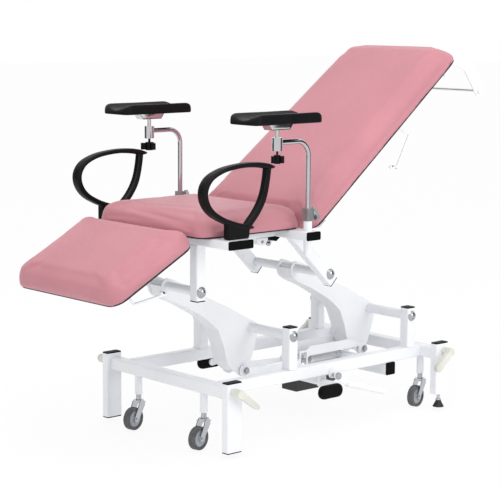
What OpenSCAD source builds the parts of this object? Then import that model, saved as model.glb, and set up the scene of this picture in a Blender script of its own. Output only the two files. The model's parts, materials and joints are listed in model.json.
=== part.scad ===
// Blood collection couch-chair: wheeled base, parallelogram lift, three upholstered sections
// and two swinging arm supports. The floor is z = 0, +X points to the head end.

/* [Base] */
// Length of the base over the legs
base_len = 1016; // [960:1:1060]
// Half width of the base over the legs
base_half_w = 320; // [310:1:330]
// Leg section along the length
leg_x = 60; // [56:1:64]
// Leg section across the width
leg_y = 30; // [28:1:34]
// Height of the leg tops
leg_top = 238; // [232:1:250]
// Gap under the foot-end legs
foot_leg_z = 14; // [12:1:18]
// Gap under the head-end legs
head_leg_z = 57; // [54:1:62]
// Height of the rail tops
rail_top = 220; // [218:1:224]
// Height of the base rails
rail_h = 40; // [38:1:40]
// Width of the cross rails
cross_w = 40; // [38:1:44]
// Setback of the cross rails from the leg ends
cross_in = 15; // [12:1:16]
// Half width over the long rails
rail_half_w = 242; // [240:1:246]
// Width of the long rails and posts
rail_w = 38; // [36:1:40]
// Height of the post tops
post_top = 360; // [355:1:370]
// Cross tube section under the rails
beam = 44; // [40:1:46]
// Centre of that cross tube along the length
beam_x = 810; // [804:1:814]
// Wall of the steel tubes
tube_wall = 2.5; // [2:0.1:3]
// Corner radius of the steel tubes
tube_round = 5; // [4:0.5:6]
// Thickness of the black end caps
cap_t = 4; // [3:0.5:5]

/* [Lift] */
// Front base pivot along the length
pivot_b_x = 351; // [346:1:356]
// Height of the base pivots
pivot_b_z = 329; // [326:1:332]
// Distance between front and rear cranks
crank_pitch = 560; // [550:1:566]
// Reach of the crank arm towards the foot end
arm_x = 356; // [346:1:360]
// Rise of the crank arm
arm_z = 178; // [174:1:184]
// Set-back of the lower crank pivot
toe_x = 36; // [32:1:40]
// Drop of the lower crank pivot
toe_z = 140; // [138:1:142]
// Half width over the crank plates
crank_half_w = 35; // [33:1:36]
// Thickness of the crank plates
crank_t = 5; // [4:0.5:6]
// Radius of the upper crank tube
tube_a_r = 14.5; // [14:0.5:16]
// Radius of the lower crank tube
tube_b_r = 16; // [15:0.5:17]
// Radius of the crank pivot pins
pin_r = 8; // [7:0.5:9]
// Thickness of the link bar plates
link_t = 5; // [4:0.5:6]
// Gap between the crank and the link bar plates
link_gap = 5; // [3:0.5:6]

/* [Upper frame] */
// Top of the frame, where the seat board lies
seat_z = 683; // [680:1:686]
// Height of the side rails and cross tubes
deck_h = 28; // [26:1:30]
// Outer half width of the hanging posts
side_half_w = 200; // [198:1:202]
// Width of the hanging posts across the chair
side_w = 36; // [34:1:38]
// Section of the hanging posts along the chair
hang_x = 37; // [35:1:39]
// Length of the hanging posts below their pivot
hang_drop = 30; // [28:1:34]
// Width of the front cross tube
front_tube_w = 100; // [96:1:104]
// Width of the rear cross tube
rear_tube_w = 60; // [56:1:64]
// Centre of the rear cross tube along the chair
rear_tube_x = 332; // [330:1:338]
// Half length of the cross tubes
tube_half_len = 350; // [346:1:354]
// Slope of the rear struts in degrees
strut_slope = 44.5; // [43:0.5:46]

/* [Sections] */
// Half width of the seat
seat_half_w = 270; // [266:1:272]
// Front end of the seat
seat_front = -62; // [-64:1:-60]
// Rear end of the seat
seat_rear = 365; // [360:1:366]
// Thickness of the boards
board_t = 12; // [10:1:15]
// Thickness of the upholstery over the board
foam_t = 60; // [56:1:62]
// Corner radius of the cushions
cushion_corner = 48; // [44:1:52]
// Length of the leg section
leg_len = 350; // [340:1:360]
// Half width of the leg section
leg_half_w = 262; // [258:1:264]
// Length of the back section
back_len = 900; // [880:1:910]
// Half width of the back at the seat
back_half_w = 274; // [270:1:276]
// Half width of the back at the top
back_top_half_w = 250; // [246:1:256]
// Droop of the leg section in degrees
leg_droop = 28; // [26:1:30]
// Slope of the back in degrees
back_slope = 37.5; // [36:0.5:38]
// Back hinge along the chair
back_hinge_x = 432; // [430:1:434]
// Height of the back hinge
back_hinge_z = 672; // [670:1:673]
// Leg hinge along the chair
leg_hinge_x = -45; // [-46:1:-44]
// Height of the leg hinge
leg_hinge_z = 668; // [667:1:670]

/* [Arm supports] */
// Distance of the arm supports from the middle
arm_y = 316; // [314:1:320]
// Position of the arm pole along the chair
pole_x = 336; // [334:1:338]
// Radius of the chrome pole
pole_r = 8.25; // [8:0.05:8.5]
// Height of the pole's horizontal part
pole_top = 968; // [964:1:980]
// Bend radius of the pole
pole_bend = 47; // [45:1:50]
// Reach of the pole to the pad swivel
pole_reach = 134; // [132:1:138]
// Length of the arm pad
pad_len = 290; // [277:1:300]
// Width of the arm pad
pad_w = 130; // [124:1:134]
// Height of the arm pad
pad_h = 33; // [31:1:36]
// Height of the loop armrests
loop_h = 232; // [226:1:234]
// Width of the loop armrests across the chair
loop_w = 35; // [32:1:36]

/* [Casters] */
// Radius of the caster wheels
wheel_r = 37.5; // [36:0.5:38]
// Width of the caster tyres
wheel_w = 24; // [22:1:25]
// Trail of the casters
trail = 27; // [26:1:28]
// Yaw of the casters as photographed, in degrees
caster_yaw = 10; // [0:1:20]
// Position of the foot-end casters across the chair
foot_caster_y = 166; // [160:1:172]
// Position of the head-end casters across the chair
head_caster_y = 221; // [215:1:224]
// Setback of the casters from the leg ends
caster_in = 34; // [33:1:36]
// Radius of the caster stems
stem_r = 9; // [8.5:0.5:9.5]

/* [Hidden] */
eps = 0.5;
run = 0.05;
near = 0.3;
fine = 48;
arc_steps = 4;

// Frame origin: the middle of the whole length, at the floor
ring_inset_shares = [0.02, 0, 0, 0.012, 0.045, 0.10, 0.20, 0.45, 0.72];
ring_rise_shares = [0, 0.10, 0.32, 0.56, 0.76, 0.88, 0.95, 0.985, 0.998];
leg_gap = 6;
leg_rear = seat_front - leg_gap;
back_lap = 22;

function leg_x_at(x, z) = leg_hinge_x + (x - leg_hinge_x) * cos(leg_droop)
    - (z - leg_hinge_z) * sin(leg_droop);
function back_x_at(u, v) = back_hinge_x + u * cos(back_slope) - v * sin(back_slope);
tip_list = [for (k = [0:len(ring_inset_shares) - 1])
    leg_x_at(leg_rear - leg_len + ring_inset_shares[k] * leg_half_w,
             seat_z + board_t + ring_rise_shares[k] * foam_t)];
low_x = min(tip_list);

// Roll holder strap, measured from the back hinge along and square to the board
strap_w = 48;
strap_t = 5;
strap_out = 70;
strap_drop = 166;
strap_y = 240;
back_deck = seat_z - back_hinge_z;
frame_bar_t = 15;
back_bar_len = 830;
strap_end_u = back_bar_len + strap_out;
strap_knee = 50;
high_x = back_x_at(strap_end_u + strap_w / 2, -strap_drop);
mid_x = (low_x + high_x) / 2;

// Derived places of the lift
a_x = pivot_b_x - arm_x;
a_z = pivot_b_z + arm_z;
c_x = pivot_b_x - toe_x;
c_z = pivot_b_z - toe_z;
rail_z = rail_top - rail_h;
beam_z = rail_z - beam;
rail_in = rail_half_w - rail_w;
side_in = side_half_w - side_w;
link_in = crank_half_w + link_gap;
link_out = link_in + link_t;
deck_z = seat_z - deck_h;
head_x = base_len - caster_in;
cap_step = 0.6;

module place() {
    translate([-mid_x, 0, 0])
        children();
}

function arc(c, r, a0, a1, n) = [for (i = [0:n])
    c + r * [cos(a0 + (a1 - a0) * i / n), sin(a0 + (a1 - a0) * i / n)]];

function round_rect(w, h, r) = concat(
    arc([w / 2 - r, h / 2 - r], r, 0, 90, arc_steps),
    arc([-w / 2 + r, h / 2 - r], r, 90, 180, arc_steps),
    arc([-w / 2 + r, -h / 2 + r], r, 180, 270, arc_steps),
    arc([w / 2 - r, -h / 2 + r], r, 270, 360, arc_steps));

// Smooth closed curve through a list of points
function blend_at(p, i, t) = let (
    n = len(p), a = p[(i + n - 1) % n], b = p[i], c = p[(i + 1) % n], d = p[(i + 2) % n])
    0.5 * (2 * b + (c - a) * t + (2 * a - 5 * b + 4 * c - d) * t * t + (3 * b - a - 3 * c + d) * t * t * t);
function smooth_loop(p, n) = [for (i = [0:len(p) - 1], k = [0:n - 1]) blend_at(p, i, k / n)];

// Flat strip along a line of points, with its thickness to the left side
function unit2(v) = v / norm(v);
function side_of(p, i) = let (a = p[max(i - 1, 0)], b = p[min(i + 1, len(p) - 1)], d = unit2(b - a))
    [-d[1], d[0]];
function strip(p, t) = concat(p, [for (i = [len(p) - 1:-1:0]) p[i] + t * side_of(p, i)]);

module tube_section(w, h) {
    difference() {
        polygon(round_rect(w, h, tube_round));
        polygon(round_rect(w - 2 * tube_wall, h - 2 * tube_wall, tube_round - tube_wall));
    }
}

// Steel tube between two corners, along the named axis
module steel_tube(lo, hi, axis) {
    s = hi - lo;
    m = (lo + hi) / 2;
    if (axis == "z")
        translate([m[0], m[1], lo[2]])
            linear_extrude(height = s[2])
                tube_section(s[0], s[1]);
    if (axis == "x")
        translate([lo[0], m[1], m[2]])
            rotate([90, 0, 90])
                linear_extrude(height = s[0])
                    tube_section(s[1], s[2]);
    if (axis == "y")
        translate([m[0], lo[1], m[2]])
            rotate([-90, 0, 0])
                linear_extrude(height = s[1])
                    tube_section(s[0], s[2]);
}

// Thin cap on a tube end, between two corners
module end_cap(lo, hi, axis) {
    s = hi - lo;
    m = (lo + hi) / 2;
    r = tube_round;
    if (axis == "z")
        translate([m[0], m[1], lo[2]])
            linear_extrude(height = s[2])
                polygon(round_rect(s[0] - cap_step, s[1] - cap_step, r));
    if (axis == "y")
        translate([m[0], lo[1], m[2]])
            rotate([-90, 0, 0])
                linear_extrude(height = s[1])
                    polygon(round_rect(s[0] - cap_step, s[2] - cap_step, r));
}

// Cylinder along Y between y0 and y1
module rod_y(x, z, r, y0, y1) {
    translate([x, y0, z])
        rotate([-90, 0, 0])
            cylinder(h = y1 - y0, r = r, $fn = fine);
}

// Cylinder along X between x0 and x1
module rod_x(y, z, r, x0, x1) {
    translate([x0, y, z])
        rotate([0, 90, 0])
            cylinder(h = x1 - x0, r = r, $fn = fine);
}

// Cylinder along Z between z0 and z1
module rod_z(x, y, r, z0, z1) {
    translate([x, y, z0])
        cylinder(h = z1 - z0, r = r, $fn = fine);
}

// Outline in the side view, extruded across the chair between y0 and y1
module side_plate(points, y0, y1) {
    translate([0, y1, 0])
        rotate([90, 0, 0])
            linear_extrude(height = y1 - y0)
                polygon(points);
}

// Bar in the side view with a round boss at each end
module side_bar(p, q, rp, rq, y0, y1) {
    d = unit2(q - p);
    n = [-d[1], d[0]];
    rod_y(p[0], p[1], rp, y0, y1);
    rod_y(q[0], q[1], rq, y0, y1);
    side_plate([p + rp * n, p - rp * n, q - rq * n, q + rq * n], y0, y1);
}

// Round bar along a line of points in the side view, with slightly fuller ball joints
joint_share = 1.06;
module round_bar(points, y, r) {
    union() {
        for (i = [0:len(points) - 2]) {
            p = points[i];
            d = points[i + 1] - p;
            translate([p[0], y, p[1]])
                rotate([0, 90 - atan2(d[1], d[0]), 0])
                    cylinder(h = norm(d), r = r, $fn = fine);
        }
        for (p = points)
            translate([p[0], y, p[1]])
                sphere(r = r * joint_share, $fn = fine);
    }
}

// Low dome standing on a face at y, pointing outwards by the sign
module dome(x, z, r, h, y, sign) {
    big = (r * r + h * h) / (2 * h);
    intersection() {
        translate([x, y - sign * (big - h), z])
            sphere(r = big, $fn = fine);
        rod_y(x, z, r, min(y, y + sign * 2 * h), max(y, y + sign * 2 * h));
    }
}

module leg_pose() {
    translate([leg_hinge_x, 0, leg_hinge_z])
        rotate([0, -leg_droop, 0])
            translate([-leg_hinge_x, 0, -leg_hinge_z])
                children();
}

// Back parts are drawn from the hinge: x along the board, z square to it
module back_pose() {
    translate([back_hinge_x, 0, back_hinge_z])
        rotate([0, -back_slope, 0])
            children();
}

// Base
ear_t = 8;
pedal_x = 510;
pedal_z = 150;
pedal_r = 12;
ear_half = 18;
ear_y = rail_in + 2 * near;
stub_r = 12.5;
stub_low = 116;
shaft_in = 23;
shaft_z = 208;
shaft_r = 6;
tray_t = 6;
tray_half = 30;
tray_len = 240;
lug_t = 12;
foot_stud_r = 6;
foot_in = 30;
foot_y = base_half_w - leg_y / 2;

module base_legs() {
    for (s = [-1, 1]) {
        y0 = min(s * base_half_w, s * (base_half_w - leg_y));
        steel_tube([0, y0, foot_leg_z + cap_t], [leg_x, y0 + leg_y, leg_top - cap_t], "z");
        steel_tube([base_len - leg_x, y0, head_leg_z], [base_len, y0 + leg_y, leg_top - cap_t], "z");
        translate([base_len - foot_in, s * foot_y, head_leg_z])
            cylinder(h = lug_t, r = leg_y / 2 - tube_wall / 2, $fn = fine);
    }
}

module base_rails() {
    inner = base_half_w - leg_y;
    steel_tube([cross_in, -inner, rail_z], [cross_in + cross_w, inner, rail_top], "y");
    steel_tube([base_len - cross_in - cross_w, -inner, rail_z], [base_len - cross_in, inner, rail_top], "y");
    steel_tube([beam_x - beam / 2, cap_t - rail_half_w, beam_z],
        [beam_x + beam / 2, rail_half_w - cap_t, rail_z], "y");
    for (s = [-1, 1]) {
        y0 = min(s * rail_in, s * rail_half_w);
        steel_tube([cross_in + cross_w, y0, rail_z],
            [base_len - cross_in - cross_w, y0 + rail_w, rail_top], "x");
        for (x = [pivot_b_x, pivot_b_x + crank_pitch])
            steel_tube([x - rail_w / 2, y0, rail_top], [x + rail_w / 2, y0 + rail_w, post_top - cap_t], "z");
        e0 = min(s * ear_y, s * (ear_y + ear_t));
        side_bar([pedal_x, pedal_z], [pedal_x, rail_z - ear_half / 2], ear_half, ear_half / 2, e0, e0 + ear_t);
        side_plate([[pedal_x - ear_half, rail_z], [pedal_x - ear_half, pedal_z], [pedal_x + ear_half, pedal_z],
            [pedal_x + ear_half, rail_z]], e0, e0 + ear_t);
    }
    side_bar(release_pivot, [release_pivot[0], rail_z + release_r], release_r, release_r,
        -rail_half_w - ear_t, -rail_half_w);
}

module caster_stub(x, y) {
    rod_z(x, y, stub_r, stub_low, rail_z);
}

module base_frame() {
    color("white")
    place()
    difference() {
        union() {
            base_legs();
            base_rails();
            for (s = [-1, 1]) {
                caster_stub(caster_in, s * foot_caster_y);
                caster_stub(head_x, s * head_caster_y);
            }
            translate([beam_x - beam / 2 - tray_len, -tray_half, beam_z])
                cube([tray_len, 2 * tray_half, tray_t]);
        }
        for (s = [-1, 1]) {
            rod_z(caster_in, s * foot_caster_y, stem_r + run, stub_low - eps, rail_z + 2 * tube_wall);
            rod_z(head_x, s * head_caster_y, stem_r + run, stub_low - eps, rail_z + 2 * tube_wall);
            rod_z(base_len - foot_in, s * foot_y, foot_stud_r + run, head_leg_z - eps,
                head_leg_z + lug_t + eps);
        }
        for (x = [shaft_in, base_len - shaft_in])
            rod_y(x, shaft_z, shaft_r + run, -base_half_w - eps, base_half_w + eps);
        for (x = [pivot_b_x, pivot_b_x + crank_pitch])
            rod_y(x, pivot_b_z, pin_r + run, -rail_half_w - eps, rail_half_w + eps);
        rod_y(release_pivot[0], release_pivot[1], release_bolt_r + run, -rail_half_w - ear_t - eps,
            rail_w / 2 - rail_half_w);
        rod_y(pedal_x, pedal_z, pedal_r + run, -rail_half_w, rail_half_w);
    }
}

module base_caps() {
    color([0.08, 0.08, 0.09])
    place()
    for (s = [-1, 1]) {
        y0 = min(s * base_half_w, s * (base_half_w - leg_y));
        end_cap([0, y0, foot_leg_z], [leg_x, y0 + leg_y, foot_leg_z + cap_t], "z");
        for (x = [0, base_len - leg_x])
            end_cap([x, y0, leg_top - cap_t], [x + leg_x, y0 + leg_y, leg_top], "z");
        r0 = min(s * rail_in, s * rail_half_w);
        for (x = [pivot_b_x, pivot_b_x + crank_pitch])
            end_cap([x - rail_w / 2, r0, post_top - cap_t], [x + rail_w / 2, r0 + rail_w, post_top], "z");
        b0 = min(s * rail_half_w, s * (rail_half_w - cap_t));
        end_cap([beam_x - beam / 2, b0, beam_z], [beam_x + beam / 2, b0 + cap_t, rail_z], "y");
    }
}

// Pivot bolts with domed heads: through a post and into the end of a crank tube
dome_r = 18.5;
dome_h = 11;
pin_reach = 24;

module pivot_bolt(x, z, s, outer, inner) {
    dome(x, z, dome_r, dome_h, s * outer, s);
    rod_y(x, z, pin_r, min(s * (inner - pin_reach), s * outer), max(s * (inner - pin_reach), s * outer));
}

module base_bolts() {
    color("silver")
    place() {
        for (s = [-1, 1], x = [pivot_b_x, pivot_b_x + crank_pitch])
            pivot_bolt(x, pivot_b_z, s, rail_half_w, rail_in);
        rod_y(release_pivot[0], release_pivot[1], release_bolt_r, -release_y - near - eps,
            rail_w / 2 - rail_half_w - eps);
        rod_y(release_pivot[0], release_pivot[1], release_r, -release_y - pedal_arm_t, -release_y - near);
    }
}

// Hydraulic pump hung below the tray, and the jack in front of the cross tube
pump_h = 58;
pump_w = 72;
pump_len = 110;
tank_r = 27;
tank_len = 96;
plunger_r = 6;
plunger_len = 14;
plunger_drop = 12;
jack_r = 24;
jack_len = 146;
jack_z = 177;
jack_rod_r = 10;
jack_ring = 15;
jack_end = 8;

module pump_unit() {
    x0 = beam_x - beam / 2 - tray_len + lug_t;
    color([0.1, 0.1, 0.11])
    place()
    union() {
        translate([x0, -pump_w / 2, beam_z - pump_h])
            cube([pump_len, pump_w, pump_h]);
        rod_x(0, beam_z - pump_h / 2, tank_r, x0 + pump_len, x0 + pump_len + tank_len);
        rod_x(0, beam_z - plunger_drop, plunger_r, x0 - plunger_len, x0);
    }
}

module jack_cylinder() {
    x1 = beam_x - beam / 2;
    color([0.85, 0.85, 0.87])
    place()
    difference() {
        union() {
            rod_x(0, jack_z, jack_r - tube_wall, x1 - jack_len, x1);
            rod_x(0, jack_z, jack_r, x1 - jack_len, x1 - jack_len + jack_ring);
            rod_x(0, jack_z, jack_r, x1 - jack_end, x1);
        }
        rod_x(0, jack_z, jack_rod_r + run, x1 - jack_len - eps, x1 - jack_end);
    }
}

// Levelling foot: a stud with a lock nut and a bell-shaped foot
bell_r = 20;
bell_h = 21;
bell_gap = 10;
nut_r = 10;
nut_h = 7;
stud_spare = 18;

module levelling_foot(s) {
    color([0.12, 0.12, 0.13])
    place()
    translate([base_len - foot_in, s * foot_y, 0])
    union() {
        translate([0, 0, bell_gap])
            cylinder(h = bell_h, r1 = bell_r, r2 = foot_stud_r + tube_wall, $fn = fine);
        cylinder_span(foot_stud_r, bell_gap + bell_h - eps, head_leg_z + lug_t + stud_spare);
        translate([0, 0, bell_gap + bell_h - eps])
            cylinder(h = nut_h, r = nut_r, $fn = 6);
    }
}

module cylinder_span(r, z0, z1) {
    translate([0, 0, z0])
        cylinder(h = z1 - z0, r = r, $fn = fine);
}

// Caster-retract lever: a shaft through both legs with a moulded handle at each end
washer_r = 13;
washer_t = 1.5;
boss_r = 14;
boss_len = 38;
handle_len = 78;
handle_r = 15;
handle_t = 15;
handle_dip = 37;

module retract_lever(x, dir) {
    color([0.93, 0.91, 0.84])
    place()
    union() {
        rod_y(x, shaft_z, shaft_r, -base_half_w - boss_len, base_half_w + boss_len);
        for (s = [-1, 1]) {
            w0 = min(s * (base_half_w + near), s * (base_half_w + near + washer_t));
            rod_y(x, shaft_z, washer_r, w0, w0 + washer_t);
            in_y = base_half_w + near + washer_t;
            rod_y(x, shaft_z, boss_r, min(s * in_y, s * (base_half_w + boss_len)),
                max(s * in_y, s * (base_half_w + boss_len)));
            tip = [x + dir * handle_len * cos(handle_dip), shaft_z - handle_len * sin(handle_dip)];
            h1 = s * (base_half_w + boss_len);
            h0 = s * (base_half_w + boss_len - handle_t);
            side_bar([x, shaft_z], tip, boss_r - 2 * washer_t, handle_r, min(h0, h1), max(h0, h1));
        }
    }
}

// Casters
crown_top = 97;
crown_h = 9;
kingpin_r = 5;
fork_t = 3;
fork_gap = 1.5;
axle_r = 4;
crown_r = 17;
cheek_r = 13.5;
axle_boss_r = 9.5;
hub_r = 27;
hub_lip = 3;
tyre_round_share = 0.125;

module caster_stems(x, y) {
    color("silver")
    place()
    for (s = [-1, 1])
        union() {
            rod_z(x, s * y, stem_r, crown_top + near, rail_z - 2 * near);
            rod_z(x, s * y, kingpin_r, crown_top - crown_h + near, crown_top + near + eps);
        }
}

module caster_frame(x, y) {
    place()
    translate([x, y, 0])
        rotate([0, 0, caster_yaw])
            children();
}

module fork(x, y) {
    color([0.78, 0.79, 0.8])
    caster_frame(x, y)
    difference() {
        union() {
            cylinder_span(crown_r, crown_top - crown_h, crown_top);
            for (s = [-1, 1]) {
                y0 = s > 0 ? wheel_w / 2 + fork_gap : -wheel_w / 2 - fork_gap - fork_t;
                side_bar([0, crown_top - cheek_r], [-trail, wheel_r], cheek_r, axle_boss_r, y0, y0 + fork_t);
            }
            translate([-crown_r, -wheel_w / 2 - fork_gap - fork_t, crown_top - crown_h])
                cube([2 * crown_r, wheel_w + 2 * fork_gap + 2 * fork_t, fork_t]);
            rod_y(-trail, wheel_r, axle_r, -wheel_w / 2 - fork_gap - 2 * fork_t,
                wheel_w / 2 + fork_gap + 2 * fork_t);
        }
        cylinder_span(kingpin_r + run, crown_top - crown_h - eps, crown_top + eps);
    }
}

module tyre(x, y) {
    color([0.42, 0.43, 0.45])
    caster_frame(x, y)
    translate([-trail, 0, wheel_r])
        rotate([90, 0, 0])
            rotate_extrude($fn = fine)
                translate([(wheel_r + hub_r) / 2, 0])
                    polygon(round_rect(wheel_r - hub_r, wheel_w, wheel_w * tyre_round_share));
}

module hub(x, y) {
    color([0.8, 0.81, 0.83])
    caster_frame(x, y)
    translate([-trail, 0, wheel_r])
        rotate([90, 0, 0])
            difference() {
                union() {
                    cylinder(h = wheel_w - 2 * hub_lip, r = hub_r, center = true, $fn = fine);
                    cylinder(h = wheel_w + fork_gap, r = axle_boss_r, center = true, $fn = fine);
                }
                cylinder(h = 2 * wheel_w, r = axle_r + run, center = true, $fn = fine);
            }
}

// Crank: two plates with a web along the lower edge and two cross tubes.
// Shares of the crank arm's reach and rise, counted from the base pivot.
upper_edge_shares = [[-0.94, 1.10], [-0.531, 0.68], [-0.26, 0.42], [-0.056, 0.20], [0.076, 0.06]];
heel_shares = [[0.088, -0.07], [0.04, -0.40], [-0.03, -0.74], [-0.105, -0.90], [-0.185, -0.80]];
lower_edge_shares = [[-0.284, -0.61], [-0.34, -0.25], [-0.402, 0.04], [-0.48, 0.185], [-0.576, 0.331],
    [-0.80, 0.58], [-1.03, 0.80], [-1.06, 1.00]];
hub_a_r = 24;
hub_c_r = 20;

function crank_points(x) = [for (q = concat(upper_edge_shares, heel_shares, lower_edge_shares))
    [x + q[0] * arm_x, pivot_b_z + q[1] * arm_z]];
function crank_edge(x) = [for (q = concat([heel_shares[4]], lower_edge_shares))
    [x + q[0] * arm_x, pivot_b_z + q[1] * arm_z]];

module crank(x) {
    color("white")
    place()
    difference() {
        union() {
            for (s = [-1, 1]) {
                y0 = s > 0 ? crank_half_w - crank_t : -crank_half_w;
                side_plate(smooth_loop(crank_points(x), arc_steps), y0, y0 + crank_t);
                rod_y(x - arm_x, a_z, hub_a_r, y0, y0 + crank_t);
                rod_y(x - toe_x, c_z, hub_c_r, y0, y0 + crank_t);
            }
            side_plate(strip(crank_edge(x), -crank_t), -crank_half_w, crank_half_w);
            rod_y(x - arm_x, a_z, tube_a_r, near - side_in, side_in - near);
            rod_y(x, pivot_b_z, tube_b_r, near - rail_in, rail_in - near);
        }
        rod_y(x - toe_x, c_z, pin_r + run, -rail_in, rail_in);
        for (s = [-1, 1]) {
            rod_y(x, pivot_b_z, pin_r + run, min(s * rail_half_w, s * (rail_in - pin_reach - eps)),
                max(s * rail_half_w, s * (rail_in - pin_reach - eps)));
            rod_y(x - arm_x, a_z, pin_r + run, min(s * rail_half_w, s * (side_in - pin_reach - eps)),
                max(s * rail_half_w, s * (side_in - pin_reach - eps)));
        }
    }
}

// Link bar between the lower crank pivots, with the slotted bracket for the jack
link_half = 8;
link_low_z = 178;
link_high_z = 215;
rise_x = 586;
rise_half = 31;
slot_play = 6;
slot_up = 6;
slot_down = 48;
cross_pin_r = 7;
cross_pin_z = 200;
bracket_wall = 6;
bolt_head_r = 13;
bolt_head_h = 7;

module link_bar() {
    x0 = c_x;
    x1 = c_x + crank_pitch;
    top = link_high_z + 2 * link_half;
    bar = [[x0, c_z + link_half], [rise_x - rise_half, link_low_z + link_half], [rise_x + rise_half, top],
        [beam_x, top], [x1, c_z + hub_c_r], [x1, c_z - hub_c_r / 2], [x1 - hub_c_r, c_z + hub_c_r / 2],
        [beam_x + beam / 2, link_high_z - 2 * link_half], [rise_x + rise_half, link_high_z - 2 * link_half],
        [rise_x - rise_half, link_low_z - link_half], [x0, link_low_z - link_half]];
    z_top = cross_pin_z + cross_pin_r + slot_up + bracket_wall;
    z_low = cross_pin_z - cross_pin_r - slot_down - bracket_wall;
    half = cross_pin_r + slot_play;
    color("white")
    place()
    union() {
        for (s = [-1, 1]) {
            y0 = s > 0 ? link_in : -link_out;
            difference() {
                union() {
                    side_plate(bar, y0, y0 + link_t);
                    rod_y(x0, c_z, hub_c_r, y0, y0 + link_t);
                    rod_y(x1, c_z, hub_c_r, y0, y0 + link_t);
                    side_plate([[rise_x - half - bracket_wall, z_low], [rise_x + half + bracket_wall, z_low],
                        [rise_x + half + bracket_wall, z_top], [rise_x - half - bracket_wall, z_top]],
                        y0, y0 + link_t);
                }
                side_plate([[rise_x - half, z_low + bracket_wall], [rise_x + half, z_low + bracket_wall],
                    [rise_x + half, z_top - bracket_wall], [rise_x - half, z_top - bracket_wall]],
                    y0 - eps, y0 + link_t + eps);
            }
        }
        for (x = [x0, x1]) {
            rod_y(x, c_z, pin_r, -link_out - bolt_head_h, link_out + bolt_head_h);
            for (s = [-1, 1])
                rod_y(x, c_z, bolt_head_r, s > 0 ? link_out : -link_out - bolt_head_h,
                    s > 0 ? link_out + bolt_head_h : -link_out);
        }
    }
}

// Jack rod with a crosshead whose pin runs in the link bar's slots
rod_tail = 57;
module jack_rod() {
    color("silver")
    place()
    union() {
        rod_x(0, jack_z, jack_rod_r, rise_x, beam_x - beam / 2 - rod_tail);
        side_bar([rise_x, jack_z], [rise_x, cross_pin_z], cross_pin_r, cross_pin_r, -tray_half, tray_half);
        rod_y(rise_x, cross_pin_z, cross_pin_r - near, -link_out - link_gap, link_out + link_gap);
    }
}

// Upper frame
strut_t = 39;
strut_len = 268;
strut_shift = 8;
saddle_len = 30;
saddle_h = 9;
saddle_drop = 4;
hinge_ear_t = 8;
hinge_pin_r = 5;
hinge_boss = 12;
leg_ear_y = 135;
back_ear_y = 279;
socket_r = 13.5;
socket_bore = 10.5;
socket_low = 609;
socket_top = 714;
gas_x = 100;
gas_z = 640;
gas_ear_y = 14;
stop_x = 249;
stop_r = 24;
stop_z = 655;
wedge_x = 299;
wedge_half = 22;
wedge_h = 16;
ball_r = 8;
ball_stud = 3;

// Frame of the sloping strut: x runs down along it, its upper face passes the A pivot line
module strut_frame() {
    translate([a_x + crank_pitch, 0, a_z])
        rotate([0, strut_slope, 0])
            children();
}

module upper_tubes() {
    x0 = a_x - hang_x / 2;
    for (s = [-1, 1]) {
        y0 = min(s * side_in, s * side_half_w);
        steel_tube([x0, y0, a_z - hang_drop + cap_t], [x0 + hang_x, y0 + side_w, deck_z], "z");
        steel_tube([x0 + front_tube_w, y0, deck_z], [rear_tube_x - rear_tube_w / 2, y0 + side_w, seat_z], "x");
        saddle_x = rear_tube_x + rear_tube_w / 2;
        side_plate([[saddle_x, deck_z], [saddle_x + saddle_len, deck_z], [saddle_x + saddle_len, deck_z + saddle_h],
            [saddle_x, seat_z - saddle_drop]], y0, y0 + side_w);
        intersection() {
            strut_frame()
                steel_tube([-strut_len, y0, -strut_t / 2 - strut_shift],
                    [hang_drop, y0 + side_w, strut_t / 2 - strut_shift], "x");
            translate([0, y0 - eps, 0])
                cube([base_len, side_w + 2 * eps, deck_z]);
        }
    }
    steel_tube([x0, cap_t - tube_half_len, deck_z], [x0 + front_tube_w, tube_half_len - cap_t, seat_z], "y");
    steel_tube([rear_tube_x - rear_tube_w / 2, cap_t - tube_half_len, deck_z],
        [rear_tube_x + rear_tube_w / 2, tube_half_len - cap_t, seat_z], "y");
}

module upper_brackets() {
    x0 = a_x - hang_x / 2;
    for (s = [-1, 1]) {
        e0 = s > 0 ? leg_ear_y : -leg_ear_y - hinge_ear_t;
        side_bar([x0 + hinge_boss, leg_hinge_z], [leg_hinge_x, leg_hinge_z], hinge_boss, hinge_boss,
            e0, e0 + hinge_ear_t);
        b0 = s > 0 ? back_ear_y : -back_ear_y - hinge_ear_t;
        side_bar([rear_tube_x + rear_tube_w / 2 - hinge_boss, back_hinge_z - hinge_boss / 4],
            [back_hinge_x, back_hinge_z], hinge_boss, hinge_boss, b0, b0 + hinge_ear_t);
        rod_z(pole_x, s * arm_y, socket_r, socket_low, socket_top);
        g0 = s > 0 ? gas_ear_y : -gas_ear_y - hinge_ear_t;
        side_bar([x0 + front_tube_w - hinge_boss, deck_z + hinge_boss], [gas_x, gas_z], hinge_boss, hinge_boss,
            g0, g0 + hinge_ear_t);
    }
    y1 = -side_in;
    difference() {
        rod_y(stop_x, stop_z, stop_r, -side_half_w, y1);
        translate([stop_x - 2 * stop_r, -side_half_w - eps, stop_z])
            cube([4 * stop_r, side_w + 2 * eps, 2 * stop_r]);
        rod_y(stop_x, stop_z - stop_r / 2, stop_r / 4, -side_half_w - eps, y1 + eps);
    }
}

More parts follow.
